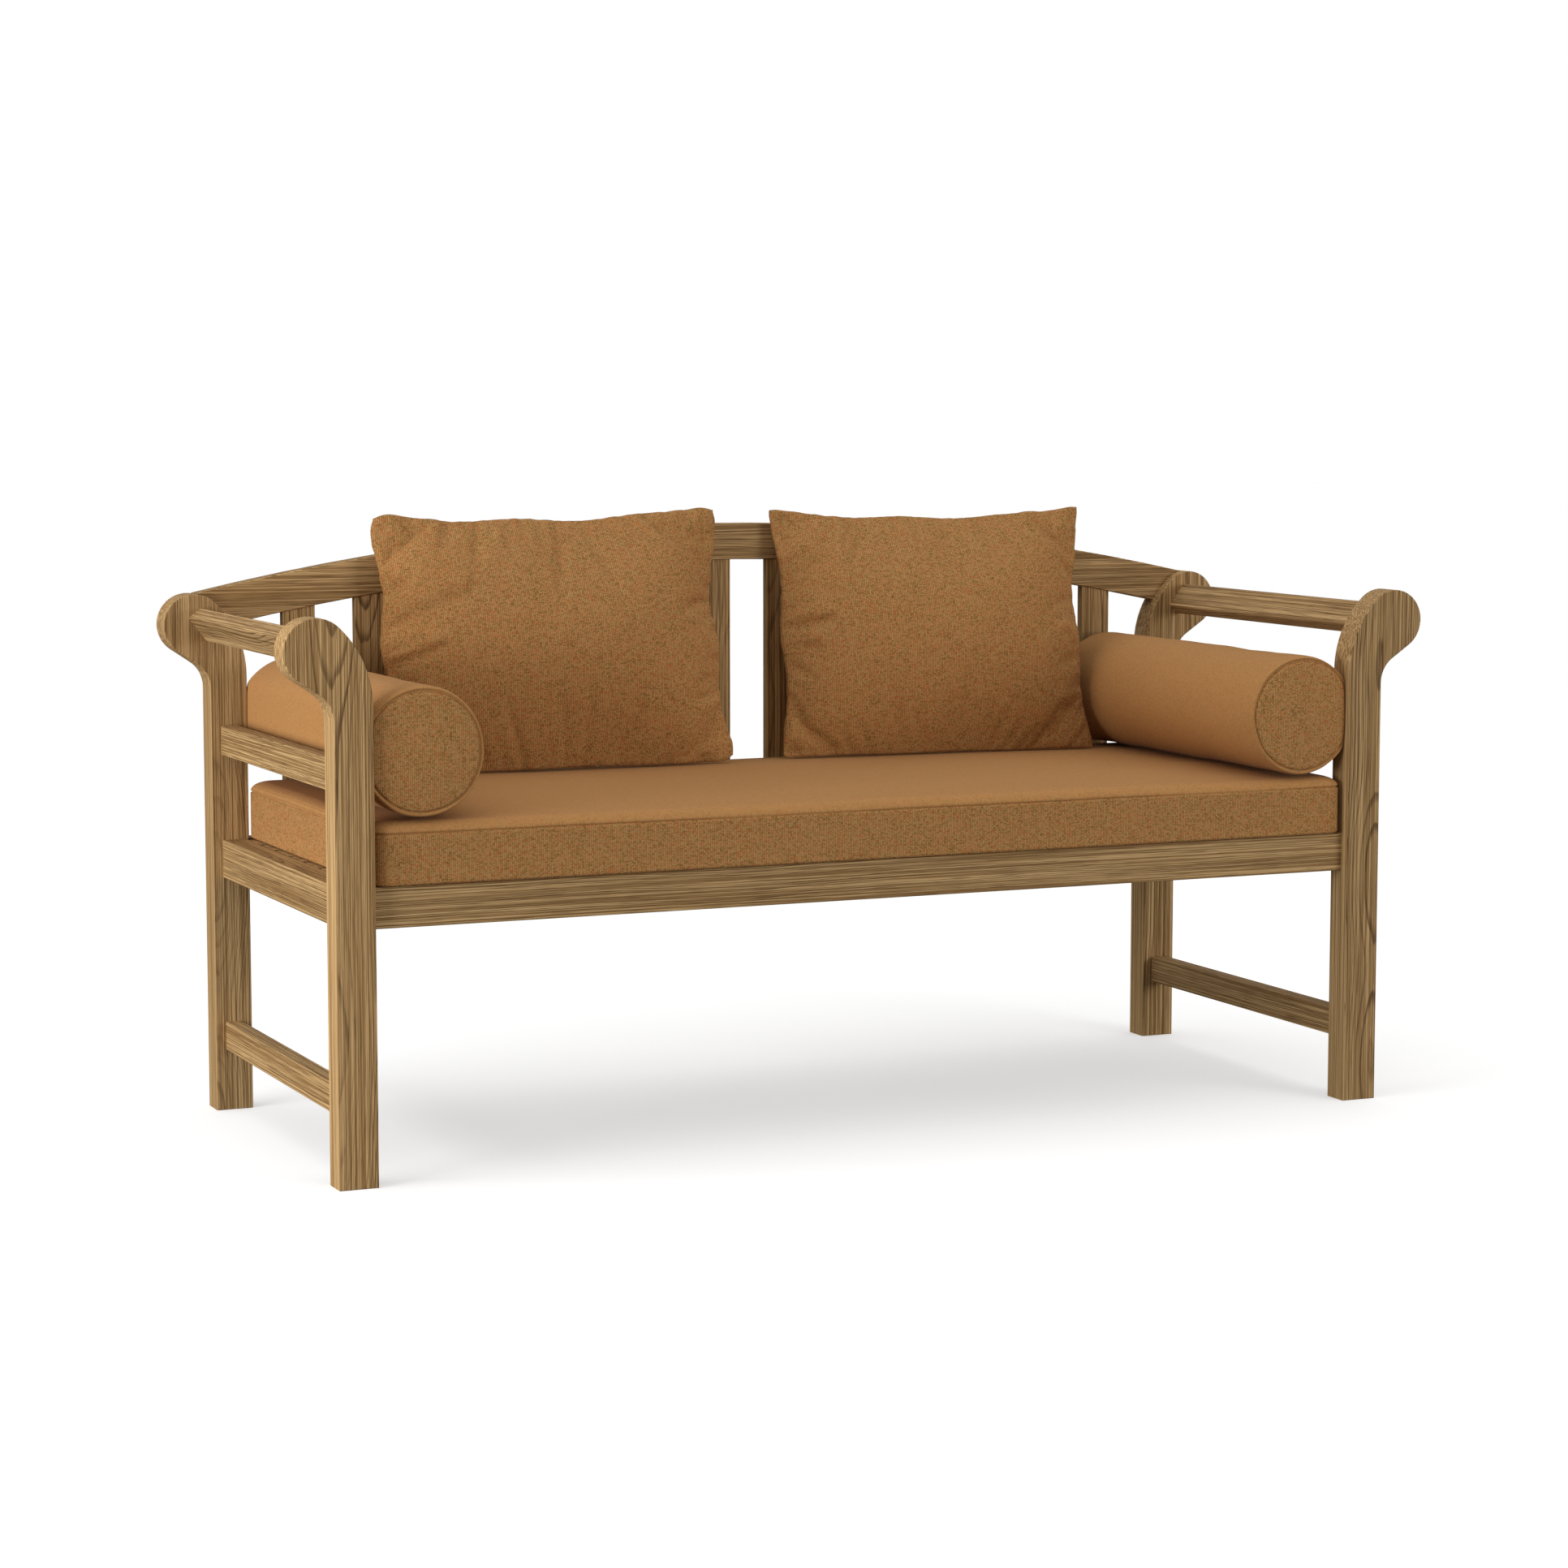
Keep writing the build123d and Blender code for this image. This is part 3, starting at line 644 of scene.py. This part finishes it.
# %% Carrying a profile
SEAM_Z = 0.4752
BITE = 0.0022  # depth of the seam
BITE_WIDTH = 0.0016
LONG_SWELL, LONG_WAVE = 0.0011, 0.42
SHORT_SWELL, SHORT_WAVE = 0.0004, 0.12
SIDE_SWELL = 0.6


def carry(inward, height):
    """The profile carried round the outline: rows are profile points, columns go round. A point
    is the spine plus the share of the outline that is left when so much is taken inward."""
    share = np.clip(1 - inward / half[1], 0, 1)[:, None, None]
    plan = spine + share * (outline - spine) + cushion_centre
    heights = np.broadcast_to(height[:, None, None], (*plan.shape[:2], 1))
    return np.concatenate((plan, heights), axis=2)


def seam_bite(distance):
    """How far a seam pulls the cloth in at a distance from it: a narrow bell."""
    return BITE * np.exp(-((distance / BITE_WIDTH) ** 2))


def soften(points):
    """The slow unevenness of stuffed foam: up and down on the top, in and out at the sides."""
    swell = LONG_SWELL * ripple(points, LONG_WAVE, 5) + SHORT_SWELL * ripple(points, SHORT_WAVE, 6)
    points[..., 2] += swell * (points[..., 2] > SEAM_Z)
    points[..., 1] += SIDE_SWELL * swell * (points[..., 2] <= SEAM_Z)
    return points


# %% [markdown]
# ## The cushion's three panels
# The underside is flat. The band turns out of it in a small quarter round, and bellies as a sine
# between its foot and the seam. The top leaves the seam in a quarter turn and crowns towards the
# middle as a sine of the distance inward.

# %% Seat cushion
CROWN_Z = 0.4972
CROWN_RISE = 0.0065
CROWN_REACH = 0.55  # share of the half depth over which the crown rises
SHOULDER = 0.021  # how far the top panel takes to turn over the edge
TURN_REACH = 0.02
BELLY = 0.0034
BELLY_FULLNESS = 0.8
FOOT = 0.006
UNDER_ROWS, UNDER_CROWD = 24, 1.4  # rows of points, and how they crowd towards the edge
TOP_ROWS, TOP_CROWD = 26, 1.3
TURN_ROWS = 12
FOOT_ROWS = 7

middle_inward = half[1] * np.linspace(0, 1, UNDER_ROWS) ** UNDER_CROWD
under_in = np.concatenate((middle_inward[::-1][:-2], [FOOT]))
underside = carry(under_in, np.full(len(under_in), under_z))

foot_angle = np.linspace(0, math.pi / 2, FOOT_ROWS)
band_heights = seam_marks(under_z + FOOT, SEAM_Z, SEAM_Z)
band_in = np.concatenate((FOOT * (1 - np.sin(foot_angle[:-1])), 0 * band_heights))
band_z = np.concatenate((under_z + FOOT * (1 - np.cos(foot_angle[:-1])), band_heights))
belly = BELLY * np.sin(math.pi * (band_z - under_z) / (SEAM_Z - under_z)) ** BELLY_FULLNESS
band_in = band_in - belly + seam_bite(band_z - SEAM_Z)
band = carry(band_in, band_z)

edge_z = CROWN_Z - CROWN_RISE
first_half = 0.5 * seam_marks(0.0, TURN_REACH, 0.0) / TURN_REACH
turn = np.concatenate((first_half, np.linspace(0.5, 1.0, TURN_ROWS)[1:])) * math.pi / 2
flat_in = SHOULDER + (half[1] - SHOULDER) * np.linspace(0, 1, TOP_ROWS)[1:] ** TOP_CROWD
top_in = np.concatenate((SHOULDER * (1 - np.cos(turn)), flat_in))
top_z = np.concatenate((SEAM_Z + (edge_z - SEAM_Z) * np.sin(turn), np.full(len(flat_in), edge_z)))
crown_share = np.clip((top_in - SHOULDER / 2) / (CROWN_REACH * half[1]), 0, 1)
crown = CROWN_RISE * np.sin(math.pi / 2 * crown_share)
top_in = top_in + seam_bite(top_z - SEAM_Z)
top = carry(top_in, top_z + crown)

band_cloth = np.stack((np.broadcast_to(walked, band.shape[:2]), band[..., 2]), axis=2)
seat_cushion = sew(
    "seat_cushion_cover",
    panel(soften(underside), underside[..., :2], 0),
    panel(soften(band), band_cloth, 1),
    panel(soften(top), top[..., :2], 0),
)
finish_soft(seat_cushion, "seat_cushion", "seat_cushion", (cloth_top, cloth_face))

# %% [markdown]
# ## Bolsters
# A bolster is a tube of cloth closed by a round cap at each end. The cap is sewn in flat and the
# seam allowance makes a narrow raised rim outside it; a second row of stitches holds the
# allowance back a finger's width along the tube. The skin is a profile turned about the
# bolster's axis, and then pressed flat where it leans on the posts.

# %% Bolster shape
BOLSTER_RADIUS = 0.0885
BOLSTER_AXIS = 0.686  # from the daybed's middle
CAP_RADIUS = 0.0815
CAP_CROWN = 0.0045
CAP_EVEN = 0.06  # inside this radius a cap's rings are evenly spaced
DOME_FULLNESS = 0.8
CAP_BITE = 1.5
CAP_SET = 0.0035  # the cap's seam, behind the bolster's end
RIM_WIDTH = 0.0045
RIM_HUMP = 0.002
RIM_EASE = 0.0028
RIM_REACH = 0.022  # where the plain tube begins
STITCH_BACK = 0.0125  # from the cap's seam to the second row of stitches
STITCH_BITE = 0.35
AROUND = 121
POST_FACE = 0.7582
PRESS_GIVE = 0.004
PRESS_EASE = 0.006
LUMP, LUMP_WAVE = 0.0007, 0.16
DIMPLE, DIMPLE_WAVE = 0.0003, 0.05
LUMPY_FROM = 0.07  # the caps' middles stay smooth


def cap_profile():
    """Radii and heights of a cap: a shallow dome, less the bite of its seam."""
    near_seam = seam_marks(CAP_EVEN, CAP_RADIUS, CAP_RADIUS)
    radius = np.concatenate((np.linspace(0, CAP_EVEN, 12), near_seam[1:]))
    dome = CAP_CROWN * (1 - (radius / CAP_RADIUS) ** 2) ** DOME_FULLNESS
    return radius, dome - CAP_BITE * seam_bite(radius - CAP_RADIUS)


def edge_profile():
    """From the cap's seam over the rim to the stitches: the radius nears the tube's as one less
    an exponential, and the rim stands out as half a sine."""
    from_seam = seam_marks(0.0, RIM_REACH, 0.0)
    by_stitch = seam_marks(0.0, RIM_REACH, STITCH_BACK)
    edge = np.unique(np.concatenate((from_seam, by_stitch)).round(5))
    rim = 1 - np.exp(-edge / RIM_EASE)
    radius = CAP_RADIUS + (BOLSTER_RADIUS - CAP_RADIUS) * rim
    radius = radius - STITCH_BITE * seam_bite(edge - STITCH_BACK)
    hump = RIM_HUMP * np.sin(np.clip(edge / RIM_WIDTH, 0, 1) * math.pi)
    return radius, hump - CAP_BITE * seam_bite(edge) - edge


# %% Bolsters
def bolster_skin(name, hand, body):
    """A profile turned about the bolster's axis, on the left (hand -1) or the right (hand 1)."""
    low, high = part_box(body)
    axis_x, axis_z = hand * BOLSTER_AXIS, (low.z + high.z) / 2
    front, back = low.y, high.y
    around = np.linspace(0, 2 * math.pi, AROUND)

    def turned(radius, along):
        """Rows at each radius and place along the axis, columns round the axis."""
        radius, along = radius[:, None], along[:, None]
        x = axis_x + radius * np.cos(around)
        z = axis_z + radius * np.sin(around)
        return np.stack((x, np.broadcast_to(along, x.shape), z), axis=2)

    def pressed(points):
        """Points pushed out by a ripple, and eased back where they would pass the posts' face."""
        slow = LUMP * ripple(points, LUMP_WAVE, 21 + hand)
        uneven = slow + DIMPLE * ripple(points, DIMPLE_WAVE, 25 + hand)
        outward = points - np.array((axis_x, 0.0, axis_z))
        outward[..., 1] = 0
        reach = np.linalg.norm(outward, axis=2, keepdims=True)
        outward = outward / np.maximum(reach, 1e-6)
        points = points + outward * uneven[..., None] * (reach > LUMPY_FROM)
        side = points[..., 0] * hand
        over = np.maximum(side - (POST_FACE - PRESS_GIVE), 0)
        points[..., 0] = hand * (side - over + PRESS_GIVE * (1 - np.exp(-over / PRESS_EASE)))
        return points

    cap_radius, cap_out = cap_profile()
    edge_radius, edge_out = edge_profile()
    tube = np.linspace(RIM_REACH, (back - front) - RIM_REACH, 46)[1:-1]
    front_cap = turned(cap_radius, front + CAP_SET - cap_out)
    front_edge = turned(edge_radius, front + CAP_SET - edge_out)
    plain = turned(np.full(len(tube), BOLSTER_RADIUS), front + tube)
    back_edge = turned(edge_radius[::-1], back - CAP_SET + edge_out[::-1])
    back_cap = turned(cap_radius[::-1], back - CAP_SET + cap_out[::-1])
    side = np.concatenate((front_edge, plain, back_edge))
    wrapped = np.broadcast_to(around * BOLSTER_RADIUS, side.shape[:2])
    skin = sew(
        name,
        panel(pressed(front_cap), front_cap[..., ::2], 1),
        panel(pressed(side), np.stack((side[..., 1], wrapped), axis=2), 0),
        panel(pressed(back_cap), back_cap[..., ::2], 1),
    )
    finish_soft(skin, body, body, (cloth_top, cloth_face))
    print(name, "length", round(back - front, 3))


bolster_skin("bolster_cover_left", -1, "bolster_left")
bolster_skin("bolster_cover_right", 1, "bolster_right")

# %% [markdown]
# ## Pillows
# A scatter pillow is two flat pieces of cloth sewn edge to edge and stuffed. Its seam is the
# stiffest part of it, and it settles into a line that dips between the corners. So the seam's
# outline is designed, and the two panels that meet on it start almost flat.

# %% Pillow blanks
PILLOW_STEP = 0.0075
START_BULGE = 0.022
BACK_CLOTH = (1.0, 0.4)  # where the back panel's cloth lies on the UV map
END_SWAY = 0.6  # the top and bottom sway less than the sides
SIDE_WAVES = (7.3, 2.1, 0.6)  # a rate along the side, a slant and a phase
END_WAVES = (8.7, 1.3, 1.9)


def slow_wave(along, beside, waves):
    """A sine of rate * along + slant * beside + phase, on a grid from -1 to 1."""
    rate, slant, phase = waves
    return np.sin(rate * along + slant * beside + phase)


def seam_outline(across, up, wide, high, ear, dips, sway):
    """Where a grid's points go: a rectangle with corners of radius ear, its sides (left, right,
    bottom, top) dipping in by dips, with a slow sway along every side. A square corner becomes
    round when each of its points moves from the distance max(dx, dy) to hypot(dx, dy)."""
    over_x = np.maximum(np.abs(across) * wide / 2 - (wide / 2 - ear), 0)
    over_y = np.maximum(np.abs(up) * high / 2 - (high / 2 - ear), 0)
    pull = 1 - np.maximum(over_x, over_y) / np.maximum(np.hypot(over_x, over_y), 1e-9)
    pull = np.where((over_x > 0) & (over_y > 0), pull, 0)
    left, right, bottom, top = dips
    side_dip = np.where(across < 0, left, right) * (1 - np.abs(up) ** 3)
    end_dip = np.where(up < 0, bottom, top) * (1 - np.abs(across) ** 3)
    side_wave = slow_wave(up, across, SIDE_WAVES)
    end_wave = slow_wave(across, up, END_WAVES)
    side_sway = sway * side_wave * (1 - up**2) * np.abs(across) ** 3
    end_sway = sway * end_wave * (1 - across**2) * np.abs(up) ** 3
    x = wide / 2 * across - np.sign(across) * over_x * pull
    y = high / 2 * up - np.sign(up) * over_y * pull
    x = x - side_dip * across * np.abs(across) + side_sway
    y = y - end_dip * up * np.abs(up) + end_sway * END_SWAY
    return x, y


def blank_pillow(name, wide, high, ear, dips, sway):
    """Two panels that meet on the seam's outline, bulged a little so that they can part."""
    columns = np.linspace(-1, 1, round(wide / PILLOW_STEP) + 1)
    rows = np.linspace(-1, 1, round(high / PILLOW_STEP) + 1)
    across, up = np.meshgrid(columns, rows)
    x, y = seam_outline(across, up, wide, high, ear, dips, sway)
    dome = ((1 - across**2) * (1 - up**2)) ** 0.5
    flat = np.stack((x, y), axis=2)
    front = np.stack((x, y, START_BULGE * dome), axis=2)
    return sew(name, panel(front, flat), panel(front * (1, 1, -1), flat + BACK_CLOTH))


# %% [markdown]
# ## Points in and out of a mesh
# The pillows are shaped in several turns, so their points are read into an array and written back
# each time. The seam is found from the UV map: its points have faces on both panels of the cloth.

# %% Points and seam
def read_points(piece):
    """A piece's points as rows of an array."""
    points = np.empty(len(piece.data.vertices) * 3, np.float32)
    piece.data.vertices.foreach_get("co", points)
    return points.reshape(-1, 3).astype(float)


def write_points(piece, points):
    """Rows of an array back into a piece's points."""
    piece.data.vertices.foreach_set("co", points.astype(np.float32).ravel())
    piece.data.update()


def seam_points(piece):
    """Which points lie on the seam: those whose faces lie on both panels of the cloth."""
    mesh = piece.data
    cloth = np.empty(len(mesh.loops) * 2, np.float32)
    mesh.uv_layers["cloth"].data.foreach_get("uv", cloth)
    corner = np.empty(len(mesh.loops), np.int32)
    mesh.loops.foreach_get("vertex_index", corner)
    on_back = cloth[0::2] > BACK_CLOTH[0] / 2
    touched = np.zeros((2, len(mesh.vertices)), bool)
    touched[0, corner[~on_back]] = True
    touched[1, corner[on_back]] = True
    return touched.all(axis=0)


# %% [markdown]
# ## Stuffing
# Nothing but the stuffing gives a pillow its crown and its wrinkles, so cloth simulation blows it
# up, with the seam held. A cover is cut a little larger than its seam's outline, so the cloth
# grows by its slack first, and the slack is what gathers beside the seam. A slight seeded
# unevenness decides where, the same way every time.

# %% Stuffing
FRAMES = 32
PRESSURE = 20.0
START_UNEVEN, START_WAVE = 0.0020, 0.12
START_GRAIN = 0.00012
CLOTH_FEEL = {
    "quality": 6, "mass": 0.25, "tension_stiffness": 25.0, "compression_stiffness": 20.0,
    "shear_stiffness": 8.0, "bending_stiffness": 0.30, "air_damping": 3.0, "pin_stiffness": 1.0,
}


def stuff(piece, fullness, slack, seed):
    """Blow the piece up with Cloth, held at its seam, until it holds its volume. Its points start
    off the flat by a ripple and a fine seeded noise."""
    points = read_points(piece)
    grain = np.random.default_rng(seed).normal(0, START_GRAIN, len(points))
    seam = seam_points(piece)
    points[:, 2] += (ripple(points, START_WAVE, seed) * START_UNEVEN + grain) * ~seam
    write_points(piece, points)
    held = piece.vertex_groups.new(name="seam")
    held.add([int(index) for index in np.flatnonzero(seam)], 1.0, "REPLACE")
    cloth = piece.modifiers.new("stuffing", "CLOTH")
    settings = cloth.settings
    for setting, value in CLOTH_FEEL.items():
        setattr(settings, setting, value)
    settings.vertex_group_mass = "seam"
    settings.shrink_min = settings.shrink_max = -slack
    settings.use_pressure = True
    settings.uniform_pressure_force = PRESSURE
    settings.use_pressure_volume = True
    settings.target_volume = fullness
    settings.pressure_factor = 1.0
    settings.effector_weights.gravity = 0.0
    cloth.point_cache.frame_end = FRAMES
    for frame_number in range(1, FRAMES + 1):
        bpy.context.scene.frame_set(frame_number)
    shape = piece.evaluated_get(bpy.context.evaluated_depsgraph_get())
    settled = read_points(shape)
    piece.modifiers.remove(cloth)
    bpy.context.scene.frame_set(1)
    write_points(piece, settled)
    print(piece.name, "stuffed, thick", round(float(np.ptp(settled[:, 2])), 3))


# %% [markdown]
# ## Seam and folds
# Once stuffed, the pillow is subdivided, so that its seam can be drawn in as a fine groove with
# small puckers beside it. A few sharper folds run in from the sides, where the cloth is pulled
# between two corners.

# %% Seam and folds
GROOVE, GROOVE_WIDTH = 0.0024, 0.0022
PUCKER, PUCKER_WAVE, PUCKER_REACH = 0.0007, 0.017, 0.016
PUCKER_CLEAR = 0.001
WELT_ASIDE, WELT_WIDTH = 1.7, 1.2  # in widths of the fold
FOLD_FADE = 0.012  # below this height a fold fades out towards the seam


def double(piece):
    """Subdivide once, so that the seam and the folds are smooth."""
    finer = piece.modifiers.new("finer", "SUBSURF")
    finer.levels = finer.render_levels = 1
    finer.uv_smooth = "NONE"
    shape = piece.evaluated_get(bpy.context.evaluated_depsgraph_get())
    mesh = bpy.data.meshes.new_from_object(shape)
    piece.modifiers.clear()
    old = piece.data
    piece.data = mesh
    bpy.data.meshes.remove(old)


def seam_distance(points, seam):
    """How far every point lies from the nearest point of the seam."""
    tree = KDTree(int(seam.sum()))
    for index, point in enumerate(points[seam]):
        tree.insert(point, index)
    tree.balance()
    return np.array([tree.find(point)[2] for point in points])


def pull_seam(piece):
    """Draw the seam in by a bell of the distance from it, and pucker the cloth beside it by a
    ripple that dies away as an exponential of the distance."""
    points = read_points(piece)
    distance = seam_distance(points, seam_points(piece))
    inward = -points * (1.0, 1.0, 0.0)
    inward /= np.maximum(np.linalg.norm(inward, axis=1, keepdims=True), 1e-6)
    points += inward * (GROOVE * np.exp(-((distance / GROOVE_WIDTH) ** 2)))[:, None]
    pucker = ripple(points, PUCKER_WAVE, 41) * np.exp(-distance / PUCKER_REACH) * PUCKER
    points[:, 2] += np.sign(points[:, 2]) * pucker * (distance > PUCKER_CLEAR)
    write_points(piece, points)


def crease(points, start, end, depth, width):
    """A fold in the front: along a segment the cloth sinks by depth * exp(-(distance / width)^2),
    and beside it rises half as much in a welt."""
    start, step = np.array(start), np.subtract(end, start)
    along = np.clip((points[:, :2] - start) @ step / (step @ step), 0, 1)
    offset = points[:, :2] - start - along[:, None] * step
    normal = np.array((-step[1], step[0])) / np.linalg.norm(step)
    sink = np.exp(-((np.linalg.norm(offset, axis=1) / width) ** 2))
    aside = np.linalg.norm(offset - WELT_ASIDE * width * normal, axis=1)
    welt = 0.5 * np.exp(-((aside / (WELT_WIDTH * width)) ** 2))
    points[:, 2] += depth * (welt - sink) * np.clip(points[:, 2] / FOLD_FADE, 0, 1)
    return points


# %% [markdown]
# ## Leaning on the back
# A pillow is shaped lying on its back about the origin. Then it is stood up, rolled a little in
# its own plane, tilted against the back slats and turned, and held off the slats and the seat.

# %% Leaning
CLEARANCE = 0.001
BACK_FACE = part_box("crest_rail")[0].y - CLEARANCE
PILLOW_FOOT = CROWN_Z + CLEARANCE
BACK_GIVE = 0.012
FOOT_GIVE = 0.004


def lean(piece, centre, turn, tilt, roll):
    """Turn the points about three axes in turn, each by cosines and sines of an angle in degrees,
    and move them to the centre."""
    points = read_points(piece)
    tilt, turn, roll = (math.radians(value) for value in (tilt, turn, roll))
    x = points[:, 0] * math.cos(roll) - points[:, 1] * math.sin(roll)
    y = points[:, 0] * math.sin(roll) + points[:, 1] * math.cos(roll)
    front = points[:, 2]
    depth = y * math.sin(tilt) - front * math.cos(tilt)
    height = y * math.cos(tilt) + front * math.sin(tilt)
    standing = np.stack((
        x * math.cos(turn) - depth * math.sin(turn),
        x * math.sin(turn) + depth * math.cos(turn),
        height,
    ), axis=1)
    write_points(piece, standing + np.array(centre))


def press(points, axis, limit, sign, give):
    """Hold points on their side of a plane, easing over a short give so that no crease forms."""
    over = np.maximum(sign * (points[:, axis] - limit) + give, 0)
    points[:, axis] -= sign * (over - give * (1 - np.exp(-over / give)))
    return points


# %% [markdown]
# ## The two pillows
# The left pillow is the larger and the softer one, with rounded ears, and the right one is cut
# with sharper corners. Each has its own cut, its own slack and its own folds.

# %% Pillows
FULLNESS = 0.0155  # cubic metres of stuffing
LEFT_CUT = dict(
    wide=0.574, high=0.412, ear=0.046, dips=(0.017, 0.029, 0.002, 0.021), sway=0.005
)
RIGHT_CUT = dict(
    wide=0.535, high=0.403, ear=0.018, dips=(0.016, 0.021, 0.001, 0.018), sway=0.0035
)
# each fold: where it starts and ends on the front, its depth and its width
LEFT_FOLDS = (
    ((-0.262, -0.034), (-0.190, -0.012), 0.0060, 0.0075),
    ((-0.255, 0.022), (-0.130, 0.072), 0.0035, 0.0130),
    ((0.262, 0.055), (0.205, 0.035), 0.0045, 0.0080),
    ((0.265, -0.085), (0.215, -0.105), 0.0050, 0.0080),
)
RIGHT_FOLDS = (
    ((-0.255, 0.006), (-0.185, 0.014), 0.0065, 0.0080),
    ((-0.255, -0.050), (-0.205, -0.026), 0.0040, 0.0090),
    ((0.240, 0.020), (0.205, 0.010), 0.0030, 0.0080),
)
LEFT_LEAN = dict(centre=(-0.2930, 0.230, 0.6925), turn=-2.6, tilt=11.3, roll=0.7)
RIGHT_LEAN = dict(centre=(0.3370, 0.222, 0.6890), turn=-6.0, tilt=11.3, roll=0.0)


def pillow(name, body, cut, slack, seed, folds, leaning):
    """One pillow, from its blank to its place on the seat."""
    piece = blank_pillow(name, **cut)
    stuff(piece, FULLNESS, slack, seed)
    double(piece)
    pull_seam(piece)
    points = read_points(piece)
    for start, end, depth, width in folds:
        points = crease(points, start, end, depth, width)
    write_points(piece, points)
    lean(piece, **leaning)
    points = press(read_points(piece), 1, BACK_FACE, 1, BACK_GIVE)
    points = press(points, 2, PILLOW_FOOT, -1, FOOT_GIVE)
    write_points(piece, points)
    print(name, "box", points.min(axis=0).round(3), points.max(axis=0).round(3))
    finish_soft(piece, body, body, (cloth_face,))


pillow("pillow_cover_left", "pillow_left", LEFT_CUT, 0.052, 7, LEFT_FOLDS, LEFT_LEAN)
pillow("pillow_cover_right", "pillow_right", RIGHT_CUT, 0.045, 5, RIGHT_FOLDS, RIGHT_LEAN)
